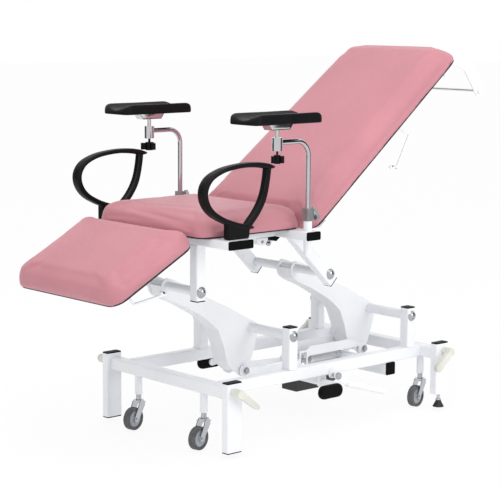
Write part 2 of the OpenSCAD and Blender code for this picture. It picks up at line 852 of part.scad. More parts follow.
module upper_frame() {
    color("white")
    place()
    difference() {
        union() {
            upper_tubes();
            upper_brackets();
        }
        for (s = [-1, 1])
            rod_z(pole_x, s * arm_y, socket_bore, socket_low - eps, socket_top + eps);
        for (x = [a_x, a_x + crank_pitch])
            rod_y(x, a_z, pin_r + run, -side_half_w - eps, side_half_w + eps);
        rod_y(leg_hinge_x, leg_hinge_z, hinge_pin_r + run, -side_half_w, side_half_w);
        rod_y(back_hinge_x, back_hinge_z, hinge_pin_r + run, -tube_half_len, tube_half_len);
        rod_y(gas_x, gas_z, hinge_pin_r + run, -side_in, side_in);
    }
}

module upper_caps() {
    x0 = a_x - hang_x / 2;
    color([0.08, 0.08, 0.09])
    place()
    for (s = [-1, 1]) {
        y0 = min(s * side_in, s * side_half_w);
        end_cap([x0, y0, a_z - hang_drop], [x0 + hang_x, y0 + side_w, a_z - hang_drop + cap_t], "z");
        strut_frame()
            translate([hang_drop, y0 + cap_step / 2, (cap_step - strut_t) / 2 - strut_shift])
                cube([cap_t, side_w - cap_step, strut_t - cap_step]);
        c0 = s > 0 ? tube_half_len - cap_t : -tube_half_len;
        end_cap([x0, c0, deck_z], [x0 + front_tube_w, c0 + cap_t, seat_z], "y");
        end_cap([rear_tube_x - rear_tube_w / 2, c0, deck_z],
            [rear_tube_x + rear_tube_w / 2, c0 + cap_t, seat_z], "y");
        side_plate([[wedge_x - wedge_half, deck_z], [wedge_x - wedge_half, deck_z - wedge_h / 2],
            [wedge_x + wedge_half / 2, deck_z - wedge_h], [rear_tube_x, deck_z]], y0, y0 + side_w);
    }
}

module upper_bolts() {
    color("silver")
    place() {
        for (s = [-1, 1], x = [a_x, a_x + crank_pitch])
            pivot_bolt(x, a_z, s, side_half_w, side_in);
        for (s = [-1, 1])
            translate([wedge_x - ball_r, s * (side_half_w - side_w / 2), deck_z - wedge_h - ball_r])
                union() {
                    sphere(r = ball_r, $fn = fine);
                    cylinder(h = ball_r + ball_stud, r = ball_r / 2, $fn = fine);
                }
    }
}

// Loop armrest: a tapering closed loop on a foot that stands on the front cross tube.
// Shares of the loop's height, counted from the middle of its foot.
loop_x = 38;
loop_outer_shares = [[-0.19, 0.207], [-0.397, 0.305], [-0.552, 0.42], [-0.622, 0.569], [-0.616, 0.685],
    [-0.569, 0.793], [-0.457, 0.879], [-0.237, 0.944], [0.056, 0.992], [0.345, 0.992], [0.54, 0.955],
    [0.65, 0.918], [0.578, 0.868], [0.53, 0.746], [0.483, 0.569], [0.409, 0.388], [0.254, 0.185],
    [0.181, 0.073], [-0.05, 0.013], [-0.185, 0.073]];
loop_inner_shares = [[-0.078, 0.233], [-0.201, 0.275], [-0.326, 0.334], [-0.475, 0.45], [-0.545, 0.6],
    [-0.532, 0.7], [-0.444, 0.808], [-0.287, 0.883], [-0.037, 0.932], [0.217, 0.932], [0.425, 0.912],
    [0.476, 0.87], [0.475, 0.785], [0.435, 0.605], [0.336, 0.443], [0.24, 0.322], [0.13, 0.235], [0.03, 0.213]];
foot_half = 44;
foot_h = 48;
foot_flare_share = 1.5;

function loop_points(q) = [for (p = q) [loop_x + p[0] * loop_h, seat_z + p[1] * loop_h]];

module loop_armrest(s) {
    y0 = s * arm_y - loop_w / 2;
    color([0.09, 0.09, 0.1])
    place()
    difference() {
        union() {
            side_plate(smooth_loop(loop_points(loop_outer_shares), arc_steps), y0, y0 + loop_w);
            side_plate([[loop_x - foot_half, seat_z], [loop_x + foot_half, seat_z],
                [loop_x + foot_half, seat_z + foot_h / 2],
                [loop_x + foot_flare_share * foot_half, seat_z + foot_h / 2],
                [loop_x + foot_half, seat_z + foot_h], [loop_x - foot_half, seat_z + foot_h]], y0, y0 + loop_w);
        }
        side_plate(smooth_loop(loop_points(loop_inner_shares), arc_steps), y0 - eps, y0 + loop_w + eps);
        translate([loop_x - base_len, y0 - eps, seat_z - loop_h])
            cube([2 * base_len, loop_w + 2 * eps, loop_h]);
    }
}

// Boards and cushions of the three sections.
// A cushion lies in a frame with x along its length, y across and z square to the board.
side_points = 7;
corner_steps = 5;

function line_between(a, b, n) = [for (i = [1:n - 1]) a + (b - a) * i / n];
function plan(len, w0, w1, r, inset) = let (
    q = max(r - inset, r / 6), i = inset,
    c1 = [len - i - q, w1 - i - q], c2 = [i + q, w0 - i - q],
    a1 = arc(c1, q, 0, 90, corner_steps), a2 = arc(c2, q, 90, 180, corner_steps),
    a3 = [for (k = [corner_steps:-1:0]) [a2[k][0], -a2[k][1]]],
    a4 = [for (k = [corner_steps:-1:0]) [a1[k][0], -a1[k][1]]])
    concat(a1, line_between(a1[corner_steps], a2[0], side_points), a2,
        line_between(a2[corner_steps], a3[0], side_points), a3,
        line_between(a3[corner_steps], a4[0], side_points), a4,
        line_between(a4[corner_steps], a1[0], side_points));

module pillow(len, w0, w1) {
    small = min(w0, w1);
    rings = [for (k = [0:len(ring_inset_shares) - 1])
        [for (p = plan(len, w0, w1, cushion_corner, ring_inset_shares[k] * small))
            [p[0], p[1], ring_rise_shares[k] * foam_t]]];
    n = len(rings[0]);
    m = len(rings);
    points = concat([for (r = rings) each r], [[len / 2, 0, 0], [len / 2, 0, foam_t]]);
    sides = [for (k = [0:m - 2], i = [0:n - 1]) let (j = (i + 1) % n)
        each [[k * n + i, (k + 1) * n + i, (k + 1) * n + j], [k * n + i, (k + 1) * n + j, k * n + j]]];
    lids = [for (i = [0:n - 1]) let (j = (i + 1) % n)
        each [[m * n, i, j], [m * n + 1, (m - 1) * n + j, (m - 1) * n + i]]];
    polyhedron(points = points, faces = concat(sides, lids));
}

module board(len, w0, w1) {
    in = board_t / 3;
    linear_extrude(height = board_t)
        polygon(plan(len, w0, w1, cushion_corner, in));
}

module seat_place() {
    place()
        translate([seat_front, 0, seat_z])
            children();
}

module leg_place() {
    place()
        leg_pose()
            translate([leg_rear, 0, seat_z])
                mirror([1, 0, 0])
                    children();
}

module back_place() {
    place()
        back_pose()
            translate([-back_lap, 0, back_deck])
                children();
}

module seat_board() {
    color([0.15, 0.14, 0.17])
    seat_place()
        board(seat_rear - seat_front, seat_half_w, seat_half_w);
}

module seat_cushion() {
    color([0.82, 0.58, 0.61])
    seat_place()
        translate([0, 0, board_t])
            pillow(seat_rear - seat_front, seat_half_w, seat_half_w);
}

module leg_board() {
    color([0.15, 0.14, 0.17])
    leg_place()
        board(leg_len, leg_half_w, leg_half_w);
}

module leg_cushion() {
    color([0.82, 0.58, 0.61])
    leg_place()
        translate([0, 0, board_t])
            pillow(leg_len, leg_half_w, leg_half_w);
}

module back_board() {
    color([0.15, 0.14, 0.17])
    back_place()
        board(back_len, back_half_w, back_top_half_w);
}

module back_cushion() {
    color([0.82, 0.58, 0.61])
    back_place()
        translate([0, 0, board_t])
            pillow(back_len, back_half_w, back_top_half_w);
}

// Section frames: flat bars under the boards with the hinge ears and pins
bar_w = 25;
leg_bar_y = 170;
leg_bar_len = 300;
tab_w = 22;
tab_drop = 22;

module leg_frame() {
    low = seat_z - frame_bar_t;
    bore = leg_handle_points[0];
    color("white")
    place()
    leg_pose()
    difference() {
        union() {
            for (s = [-1, 1]) {
                translate([leg_rear - leg_bar_len, s > 0 ? leg_bar_y - bar_w : -leg_bar_y, low])
                    cube([leg_bar_len, bar_w, frame_bar_t]);
                e0 = s > 0 ? leg_ear_y + hinge_ear_t + near : -leg_ear_y - 2 * hinge_ear_t - near;
                side_bar([leg_rear - hinge_boss, low + frame_bar_t / 2], [leg_hinge_x, leg_hinge_z],
                    frame_bar_t / 2, hinge_boss, e0, e0 + hinge_ear_t);
                rod_y(leg_hinge_x, leg_hinge_z, hinge_pin_r,
                    s > 0 ? leg_ear_y : -leg_ear_y - 2 * hinge_ear_t - near,
                    s > 0 ? leg_ear_y + 2 * hinge_ear_t + near : -leg_ear_y);
            }
            for (x = [leg_rear - leg_bar_len, leg_rear - leg_bar_len / 2])
                translate([x, -leg_bar_y, low])
                    cube([bar_w, 2 * leg_bar_y, frame_bar_t]);
            translate([leg_rear - leg_bar_len, -tab_w / 2, low - tab_drop])
                cube([strap_t, tab_w, tab_drop]);
        }
        rod_y(leg_hinge_x + bore[0], leg_hinge_z + bore[1], rod_r + run,
            -leg_bar_y - eps, bar_w - leg_bar_y + eps);
    }
}

gas_arm = 55;
gas_tilt = 31;
gas_slot = 9;
gas_eye_r = 11;
back_bar_y = 205;
function gas_top_u() = -gas_arm * sin(gas_tilt);
function gas_top_v() = -gas_arm * cos(gas_tilt);

module back_frame() {
    top = back_deck;
    color("white")
    place()
    back_pose()
    difference() {
        union() {
            for (s = [-1, 1]) {
                translate([bar_w / 2, s > 0 ? back_bar_y - bar_w : -back_bar_y, top - frame_bar_t])
                    cube([back_bar_len, bar_w, frame_bar_t]);
                e0 = s > 0 ? back_ear_y - near - hinge_ear_t : -back_ear_y + near;
                side_bar([bar_w, top - frame_bar_t / 2], [0, 0], frame_bar_t / 2, hinge_boss,
                    e0, e0 + hinge_ear_t);
                rod_y(0, 0, hinge_pin_r, s > 0 ? back_ear_y - near - hinge_ear_t : -back_ear_y - hinge_ear_t,
                    s > 0 ? back_ear_y + hinge_ear_t : -back_ear_y + near + hinge_ear_t);
            }
            for (q = [[bar_w / 2, back_ear_y - near], [back_bar_len / 2, back_bar_y],
                [back_bar_len - bar_w, strap_y]])
                translate([q[0], -q[1], top - frame_bar_t])
                    cube([bar_w, 2 * q[1], frame_bar_t]);
            for (s = [-1, 1]) {
                g0 = s > 0 ? gas_ear_y : -gas_ear_y - hinge_ear_t;
                side_bar([bar_w, top - frame_bar_t / 2], [gas_top_u(), gas_top_v()], frame_bar_t / 2,
                    gas_slot + hinge_boss, g0, g0 + hinge_ear_t);
            }
            roll_straps();
        }
        rod_y(gas_top_u(), gas_top_v(), hinge_pin_r + gas_slot, -side_in, side_in);
        for (s = [-1, 1])
            rod_y(rod_u, rod_v, roll_rod_r + run, s > 0 ? strap_y - strap_t : -strap_y - strap_t,
                s > 0 ? strap_y + strap_t : -strap_y + strap_t);
        rod_y(back_handle_points[0][0], back_handle_points[0][1], rod_r + run,
            -back_bar_y - eps, bar_w - back_bar_y + eps);
    }
}

// Paper roll holder
roll_rod_r = 5;
rod_u = strap_end_u - strap_w / 8;
rod_v = -strap_drop + strap_w / 4;
strap_root = 47;

module roll_straps() {
    half = strap_w / 2;
    u1 = strap_end_u;
    u0 = back_bar_len - strap_root;
    v0 = back_deck;
    for (s = [-1, 1])
        side_plate([[u0, v0], [u1 - half, v0], [u1 + half, -strap_knee], [u1 + half, -strap_drop],
            [u1 - half, -strap_drop], [u1 - half, -strap_knee], [u1 - 2 * half, v0 - frame_bar_t],
            [u0, v0 - frame_bar_t]],
            s * strap_y - strap_t / 2, s * strap_y + strap_t / 2);
}

module roll_rod() {
    color("silver")
    place()
    back_pose()
    union() {
        rod_y(rod_u, rod_v, roll_rod_r, -strap_y - 2 * strap_t, strap_y + 2 * strap_t);
        for (s = [-1, 1])
            rod_y(rod_u, rod_v, 2 * roll_rod_r, s > 0 ? strap_y + strap_t / 2 + near : -strap_y - 2 * strap_t,
                s > 0 ? strap_y + 2 * strap_t : -strap_y - strap_t / 2 - near);
    }
}

// Gas spring between the front cross tube and the back frame
gas_r = 11;
gas_rod_r = 5;
gas_body_share = 0.62;
gas_top = [back_x_at(gas_top_u(), gas_top_v()),
    back_hinge_z + gas_top_u() * sin(back_slope) + gas_top_v() * cos(back_slope)];
gas_len = norm(gas_top - [gas_x, gas_z]);
gas_angle = atan2(gas_top[1] - gas_z, gas_top[0] - gas_x);

module gas_frame() {
    place()
    translate([gas_x, 0, gas_z])
        rotate([0, -gas_angle, 0])
            children();
}

module gas_cylinder() {
    color([0.1, 0.1, 0.11])
    gas_frame()
    difference() {
        union() {
            rod_x(0, 0, gas_r, 0, gas_len * gas_body_share);
            rod_y(0, 0, hinge_boss, near - gas_ear_y, gas_ear_y - near);
            rod_y(0, 0, hinge_pin_r, -gas_ear_y - hinge_ear_t, gas_ear_y + hinge_ear_t);
        }
        rod_x(0, 0, gas_rod_r + run, 3 * gas_r, gas_len * gas_body_share + eps);
    }
}

module gas_rod() {
    color("silver")
    gas_frame()
    union() {
        rod_x(0, 0, gas_rod_r, gas_len * (1 - gas_body_share) - gas_r, gas_len);
        rod_y(gas_len, 0, gas_eye_r, near - gas_ear_y, gas_ear_y - near);
        rod_y(gas_len, 0, hinge_pin_r, -gas_ear_y - hinge_ear_t, gas_ear_y + hinge_ear_t);
    }
}

// Arm supports: clamp, wing, pole, knob, bracket and pad on each side
clamp_top = 755;
clamp_half = 17;
spigot_low = 645;
pole_low = 632;
wing_screw_r = 4;
wing_z = 735;
wing_gap = 4;
wing_len = 44;
wing_t = 9;
wing_tilt = 55;
collar_r = 17;
collar_low = 943;
collar_high = 984;
swivel_r = 6.5;
bracket_z = 1008;
tray_z = 1028;
sheet_t = 2.5;
knob_low = 903;
knob_high = 930;
knob_r = 13;
lobe_r = 9;
lobe_at = 20;
thread_r = 4;

module arm_clamp(s) {
    y = s * arm_y;
    color([0.55, 0.57, 0.57])
    place()
    difference() {
        union() {
            translate([pole_x - clamp_half, y - clamp_half, socket_top + near])
                cube([2 * clamp_half, 2 * clamp_half, clamp_top - socket_top - near]);
            rod_z(pole_x, y, socket_bore - run, spigot_low, socket_top + clamp_half);
        }
        rod_z(pole_x, y, pole_r + run, spigot_low - eps, clamp_top + eps);
        rod_x(y, wing_z, wing_screw_r + run, pole_x + pole_r + wing_gap / 2, pole_x + clamp_half + eps);
    }
}

module arm_wing(s) {
    y = s * arm_y;
    x0 = pole_x + clamp_half + near;
    color([0.6, 0.62, 0.62])
    place()
    union() {
        rod_x(y, wing_z, wing_screw_r, pole_x + pole_r + wing_gap, x0 + wing_gap);
        rod_x(y, wing_z, 2 * wing_screw_r, x0, x0 + wing_gap + wing_t);
        translate([x0 + wing_gap, y, wing_z])
            rotate([wing_tilt, 0, 0])
                rotate([90, 0, 90])
                    linear_extrude(height = wing_t)
                        polygon(round_rect(wing_len, 2 * wing_t, wing_t / 2));
    }
}

module arm_pole(s) {
    y = s * arm_y;
    color("silver")
    place()
    difference() {
        union() {
            rod_z(pole_x, y, pole_r, pole_low, pole_top - pole_bend);
            translate([pole_x - pole_bend, y, pole_top - pole_bend])
                rotate([90, 0, 0])
                    rotate_extrude(angle = 90, $fn = 2 * fine)
                        translate([pole_bend, 0])
                            circle(r = pole_r, $fn = fine);
            rod_x(y, pole_top, pole_r, pole_x - pole_reach, pole_x - pole_bend);
            rod_z(pole_x - pole_reach, y, collar_r, collar_low, collar_high);
        }
        rod_z(pole_x - pole_reach, y, swivel_r + run, collar_low + lobe_r, collar_high + eps);
        rod_z(pole_x - pole_reach, y, thread_r + run, collar_low - eps, collar_high);
    }
}

module arm_knob(s) {
    color([0.07, 0.07, 0.08])
    place()
    translate([pole_x - pole_reach, s * arm_y, 0])
    union() {
        cylinder_span(knob_r, knob_low, knob_high);
        cylinder_span(thread_r, knob_high - eps, collar_low + lobe_r - near);
        for (a = [30:120:270])
            rotate([0, 0, a])
                translate([lobe_at, 0, 0])
                    cylinder_span(lobe_r, knob_low + sheet_t, knob_high - sheet_t);
    }
}

bracket_low_share = 0.3;
bracket_high_share = 0.41;

module pad_bracket(s) {
    x = pole_x - pole_reach;
    low = bracket_low_share * pad_w;
    high = bracket_high_share * pad_w;
    color("white")
    place()
    union() {
        rod_z(x, s * arm_y, swivel_r, collar_low + lobe_r + near, bracket_z + sheet_t);
        side_plate([[x - low, bracket_z], [x + low, bracket_z], [x + high, tray_z],
            [x + high - sheet_t, tray_z], [x + low - sheet_t / 2, bracket_z + sheet_t],
            [x - low + sheet_t / 2, bracket_z + sheet_t], [x - high + sheet_t, tray_z], [x - high, tray_z]],
            s * arm_y - clamp_half, s * arm_y + clamp_half);
    }
}

// Arm pad: a moulded trough, drawn from its side, end and plan outlines
pad_lead_share = 0.514;
pad_x = pole_x - pole_reach - pad_lead_share * pad_len;
pad_hollow = 17;
pad_side_shares = [[0, 0.06], [0.03, 0], [0.35, -0.02], [0.65, -0.02], [0.97, 0], [1, 0.06], [0.988, 0.4],
    [0.962, 0.75], [0.92, 0.95], [0.86, 1], [0.50, 0.985], [0.14, 1], [0.08, 0.95], [0.038, 0.75], [0.012, 0.4]];
pad_corner = 22;
trough_share = 0.8;
trough_edge_share = 0.96;
trough_steps = 8;

module arm_pad(s) {
    half = pad_w / 2;
    reach = half * trough_share;
    y = s * arm_y;
    side = smooth_loop([for (q = pad_side_shares) [pad_x + q[0] * pad_len, tray_z + q[1] * pad_h]], arc_steps);
    color([0.08, 0.08, 0.09])
    place()
    difference() {
        intersection() {
            side_plate(side, y - half, y + half);
            translate([pad_x + pad_len / 2, y, tray_z])
                linear_extrude(height = pad_h)
                    polygon(round_rect(pad_len, pad_w, pad_corner));
        }
        translate([pad_x - eps, 0, 0])
            rotate([90, 0, 90])
                linear_extrude(height = pad_len + 2 * eps)
                    polygon(concat([[y - reach, tray_z + 2 * pad_h]],
                        [for (k = [0:trough_steps]) let (t = 2 * k / trough_steps - 1)
                            [y + t * reach, tray_z + pad_h * trough_edge_share - pad_hollow * (1 - t * t)]],
                        [[y + reach, tray_z + 2 * pad_h]]));
    }
}

// Pump pedals on their shaft, and the release lever on the near side
pedal_arm_t = 6;
pedal_arm_y = 285;
pad_cx = 458;
pad_cz = 143;
pedal_pad_len = 113;
pedal_pad_h = 45;
pedal_pad_t = 26;
pedal_round_share = 0.45;

module pump_pedal() {
    color("white")
    place()
    union() {
        rod_y(pedal_x, pedal_z, pedal_r, -pedal_arm_y - pedal_arm_t, pedal_arm_y + pedal_arm_t);
        for (s = [-1, 1]) {
            y0 = s > 0 ? pedal_arm_y : -pedal_arm_y - pedal_arm_t;
            side_bar([pedal_x, pedal_z], [pad_cx, pad_cz], pedal_r + cap_step, pedal_r, y0, y0 + pedal_arm_t);
        }
        side_bar([pedal_x, pedal_z], [pedal_x + ear_half, beam_z - pedal_r], pedal_r + run, ear_t,
            -ear_half, ear_half);
    }
}

module pump_pads() {
    color([0.06, 0.06, 0.07])
    place()
    for (s = [-1, 1]) {
        y0 = s > 0 ? pedal_arm_y + pedal_arm_t : -pedal_arm_y - pedal_arm_t - pedal_pad_t;
        translate([pad_cx, y0, pad_cz])
            rotate([-90, 0, 0])
                linear_extrude(height = pedal_pad_t)
                    polygon(round_rect(pedal_pad_len - pedal_r, pedal_pad_h, pedal_pad_h * pedal_round_share));
    }
}

release_y = 274;
release_r = 12;
release_pivot = [522, 180];
release_knee = [572, 147];
release_tip = [736, 97];
release_bolt_r = 6;
release_end_share = 0.8;

module release_lever() {
    y0 = -release_y;
    color("white")
    place()
    union() {
        round_bar([release_knee, release_tip], y0 + pedal_arm_t / 3, release_r);
        difference() {
            side_bar(release_pivot, release_knee, release_r, release_r * release_end_share,
                y0, y0 + pedal_arm_t);
            rod_y(release_pivot[0], release_pivot[1], release_bolt_r + run, y0 - eps, y0 + pedal_arm_t + eps);
        }
    }
}

// Release handles: thin bent rods under the back and the leg section
rod_r = 4;
back_handle_y = 240;
leg_handle_y = 205;

// Points of the handles in the side view, each from its own section's hinge
back_handle_points = [[500, 3.5], [532, -47], [417, -98], [396, -78]];
leg_handle_points = [[-290, 7.5], [-280, -39], [-168, -80], [-176, -68]];
tip_share = 1.4;

module release_handle(p, y, inner) {
    n = len(p);
    rod_y(p[0][0], p[0][1], rod_r, -y, inner);
    round_bar([for (i = [0:n - 2]) p[i]], -y, rod_r);
    round_bar([p[n - 2], p[n - 1]], -y, tip_share * rod_r);
}

module back_handle() {
    color("white")
    place()
    back_pose()
    union()
        release_handle(back_handle_points, back_handle_y, bar_w - back_bar_y);
}

module leg_handle() {
    color("white")
    place()
    leg_pose()
    translate([leg_hinge_x, 0, leg_hinge_z])
    union()
        release_handle(leg_handle_points, leg_handle_y, bar_w - leg_bar_y);
}

base_frame();
base_caps();
base_bolts();
pump_unit();
jack_cylinder();
levelling_foot(-1);  // levelling_foot_near
levelling_foot(1);  // levelling_foot_far
retract_lever(shaft_in, 1);  // retract_lever_foot
retract_lever(base_len - shaft_in, -1);  // retract_lever_head
caster_stems(caster_in, foot_caster_y);  // caster_stems_foot
caster_stems(head_x, head_caster_y);  // caster_stems_head
fork(caster_in, -foot_caster_y);  // fork_foot_near
fork(caster_in, foot_caster_y);  // fork_foot_far
fork(head_x, -head_caster_y);  // fork_head_near
fork(head_x, head_caster_y);  // fork_head_far
tyre(caster_in, -foot_caster_y);  // tyre_foot_near
tyre(caster_in, foot_caster_y);  // tyre_foot_far
tyre(head_x, -head_caster_y);  // tyre_head_near
tyre(head_x, head_caster_y);  // tyre_head_far
hub(caster_in, -foot_caster_y);  // hub_foot_near
hub(caster_in, foot_caster_y);  // hub_foot_far
hub(head_x, -head_caster_y);  // hub_head_near
hub(head_x, head_caster_y);  // hub_head_far
crank(pivot_b_x);  // crank_front
crank(pivot_b_x + crank_pitch);  // crank_rear
link_bar();
jack_rod();
upper_frame();
upper_caps();
upper_bolts();
loop_armrest(-1);  // loop_armrest_near
loop_armrest(1);  // loop_armrest_far
seat_board();
seat_cushion();
leg_board();
leg_cushion();
back_board();
back_cushion();
leg_frame();
back_frame();
roll_rod();
back_handle();
leg_handle();
gas_cylinder();
gas_rod();
arm_clamp(-1);  // clamp_near
arm_clamp(1);  // clamp_far
arm_wing(-1);  // wing_near
arm_wing(1);  // wing_far
arm_pole(-1);  // pole_near
arm_pole(1);  // pole_far
arm_knob(-1);  // knob_near
arm_knob(1);  // knob_far
pad_bracket(-1);  // pad_bracket_near
pad_bracket(1);  // pad_bracket_far
arm_pad(-1);  // arm_pad_near
arm_pad(1);  // arm_pad_far
pump_pedal();
pump_pads();
release_lever();
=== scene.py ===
"""Blood collection chair: upholstery, mouldings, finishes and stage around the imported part."""

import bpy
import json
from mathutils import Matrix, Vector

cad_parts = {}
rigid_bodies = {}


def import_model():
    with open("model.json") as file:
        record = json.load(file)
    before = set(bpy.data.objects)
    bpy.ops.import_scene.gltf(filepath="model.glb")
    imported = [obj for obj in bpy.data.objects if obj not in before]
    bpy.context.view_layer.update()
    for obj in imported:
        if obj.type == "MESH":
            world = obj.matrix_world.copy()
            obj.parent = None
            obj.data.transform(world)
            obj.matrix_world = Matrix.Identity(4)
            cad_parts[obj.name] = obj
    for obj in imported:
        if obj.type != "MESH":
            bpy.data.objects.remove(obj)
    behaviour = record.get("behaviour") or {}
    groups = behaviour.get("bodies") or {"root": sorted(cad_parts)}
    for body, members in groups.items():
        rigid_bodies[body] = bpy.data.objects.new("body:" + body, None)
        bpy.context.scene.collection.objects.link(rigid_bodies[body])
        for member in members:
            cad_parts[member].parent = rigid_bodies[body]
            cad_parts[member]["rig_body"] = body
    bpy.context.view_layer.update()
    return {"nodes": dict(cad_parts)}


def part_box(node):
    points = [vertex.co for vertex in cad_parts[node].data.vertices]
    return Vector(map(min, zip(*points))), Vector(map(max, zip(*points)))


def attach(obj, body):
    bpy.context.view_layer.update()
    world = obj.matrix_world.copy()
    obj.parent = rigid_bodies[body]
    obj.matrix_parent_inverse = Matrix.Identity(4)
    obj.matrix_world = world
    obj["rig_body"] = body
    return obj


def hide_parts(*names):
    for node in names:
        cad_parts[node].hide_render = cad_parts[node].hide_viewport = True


bl_info = {
    "name": "Blood collection chair",
    "version": (1, 0, 0),
    "blender": (4, 5, 0),
    "location": "View3D > Sidebar > Chair",
    "description": "Dresses a wheeled blood collection chair and lights it for a product picture",
    "category": "Object",
}

import json
import math

import bmesh
import bpy
from mathutils import Matrix, Vector, noise

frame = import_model()

MM = 0.001
FOOT_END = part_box("base_frame")[0].x
BACK_SLOPE = math.radians(37.5)
LEG_DROOP = math.radians(28)
# Places in millimetres: (x, z) of the hinges and of the levers' shaft, x of the poles and of the
# pads' pins, and the arm supports' distance from the middle
BACK_HINGE = (432, 672)
LEG_HINGE = (-45, 668)
LEVER_SHAFT = (24, 208)
POLE_X = 336
PAD_PIN_X = 202
ARM_Y = 316


def spot(x, y, z):
    """A place in millimetres, x counted from the foot end of the base, as a place in the frame."""
    return Vector((FOOT_END + x * MM, y * MM, z * MM))


def section_spot(hinge, slope, along, y, square):
    """A place measured from a section's hinge, along its board and square to it."""
    cosine, sine = math.cos(slope), math.sin(slope)
    return spot(hinge[0] + along * cosine - square * sine, y,
                hinge[1] + along * sine + square * cosine)


def back_spot(along, y, square):
    return section_spot(BACK_HINGE, BACK_SLOPE, along, y, square)


def leg_spot(along, y, square):
    return section_spot(LEG_HINGE, LEG_DROOP, along, y, square)


# ---- settings -------------------------------------------------------------------------------


class ChairSizes(bpy.types.PropertyGroup):
    """Sizes of the upholstery and the mouldings."""

    cushion_grid: bpy.props.FloatProperty(
        name="Cushion grid", description="Size of the upholstery's mesh squares",
        default=0.006, min=0.004, max=0.012, unit="LENGTH")
    cushion_swell: bpy.props.FloatProperty(
        name="Cushion swell", description="Most that the upholstery swells from its plain form",
        default=0.006, min=0.0, max=0.02, unit="LENGTH")
    rim_drop: bpy.props.FloatProperty(
        name="Rim drop", description="How far the covers are drawn down over the boards' edges",
        default=0.0108, min=0.0, max=0.012, unit="LENGTH")
    loop_grid: bpy.props.FloatProperty(
        name="Armrest grid", description="Size of the mesh squares of the loop armrests",
        default=0.0017, min=0.001, max=0.004, unit="LENGTH")
    pad_grid: bpy.props.FloatProperty(
        name="Arm pad grid", description="Size of the mesh squares of the arm pads",
        default=0.0028, min=0.002, max=0.005, unit="LENGTH")
    steel_round: bpy.props.FloatProperty(
        name="Steel edge rounding", description="Edge radius of cut and pressed steel",
        default=0.0012, min=0.0002, max=0.004, unit="LENGTH")


class ChairColours(bpy.types.PropertyGroup):
    """Colours of the finishes."""

    vinyl: bpy.props.FloatVectorProperty(
        name="Vinyl", description="Colour of the upholstery", subtype="COLOR",
        default=(0.575, 0.238, 0.278), min=0.0, max=1.0)
    coating: bpy.props.FloatVectorProperty(
        name="Coating", description="Colour of the coated steel", subtype="COLOR",
        default=(0.885, 0.90, 0.93), min=0.0, max=1.0)
    moulding: bpy.props.FloatVectorProperty(
        name="Mouldings", description="Colour of the black armrests, pads and caps",
        subtype="COLOR", default=(0.0055, 0.0055, 0.0065), min=0.0, max=1.0)
    lever: bpy.props.FloatVectorProperty(
        name="Levers", description="Colour of the caster levers", subtype="COLOR",
        default=(0.70, 0.70, 0.64), min=0.0, max=1.0)
    tyre: bpy.props.FloatVectorProperty(
        name="Tyres", description="Colour of the caster tyres", subtype="COLOR",
        default=(0.10, 0.10, 0.105), min=0.0, max=1.0)
    floor: bpy.props.FloatVectorProperty(
        name="Floor", description="Colour of the studio floor", subtype="COLOR",
        default=(0.94, 0.94, 0.94), min=0.0, max=1.0)


class ChairStage(bpy.types.PropertyGroup):
    """Strengths of the studio's lamps."""

    top_lamp: bpy.props.FloatProperty(
        name="Top lamp", description="Power of the lamp above the chair",
        default=40.0, min=0.0, unit="POWER")
    side_lamp: bpy.props.FloatProperty(
        name="Side lamp", description="Power of the lamp on the near side",
        default=40.0, min=0.0, unit="POWER")
    sky: bpy.props.FloatProperty(
        name="Surround", description="Strength of the even light from all round",
        default=1.12, min=0.0, max=2.0)


# ---- hand tools -----------------------------------------------------------------------------


def alone(obj):
    """Selects obj and nothing else, and makes it active."""
    bpy.ops.object.select_all(action="DESELECT")
    obj.hide_set(False)
    obj.select_set(True)
    bpy.context.view_layer.objects.active = obj
    return obj


def edit(obj, pick="SELECT"):
    alone(obj)
    bpy.ops.object.mode_set(mode="EDIT")
    bpy.ops.mesh.select_all(action=pick)


def leave_edit():
    bpy.ops.object.mode_set(mode="OBJECT")


def settle(obj):
    """Puts the piece's place into its mesh, so that its object sits at the origin."""
    alone(obj)
    bpy.ops.object.transform_apply(location=True, rotation=True, scale=True)
    return obj


def modify(obj, kind, **values):
    """Adds a modifier and applies it."""
    alone(obj)
    modifier = obj.modifiers.new(kind.title(), kind)
    for key, value in values.items():
        setattr(modifier, key, value)
    bpy.ops.object.modifier_apply(modifier=modifier.name)
    return obj


def rounded(obj, width, segments, angle=40):
    """Rounds every edge that is sharper than the angle."""
    return modify(obj, "BEVEL", width=width, segments=segments, limit_method="ANGLE",
                  angle_limit=math.radians(angle))


def remeshed(obj, size):
    """Gives the piece an even mesh of squares."""
    obj.data.remesh_voxel_size = size
    obj.data.use_remesh_fix_poles = True
    alone(obj)
    bpy.ops.object.voxel_remesh()
    return obj


def smooth(obj, angle=35):
    alone(obj)
    bpy.ops.object.shade_smooth_by_angle(angle=math.radians(angle))
    return obj


def fresh(name):
    """Names the object that an add operator has just made."""
    obj = bpy.context.view_layer.objects.active
    obj.name = name
    obj.data.name = name
    return obj


def added(name, add, **values):
    """A primitive with its place in its mesh."""
    bpy.ops.object.select_all(action="DESELECT")
    add(**values)
    return settle(fresh(name))


def copy_of(node, name):
    """A copy of a CAD node with its loose triangles joined into one closed mesh."""
    source = frame["nodes"][node]
    obj = bpy.data.objects.new(name, source.data.copy())
    bpy.context.scene.collection.objects.link(obj)
    obj.data.materials.clear()
    edit(obj)
    bpy.ops.mesh.customdata_custom_splitnormals_clear()
    bpy.ops.mesh.remove_doubles(threshold=0.02 * MM)
    leave_edit()
    return obj


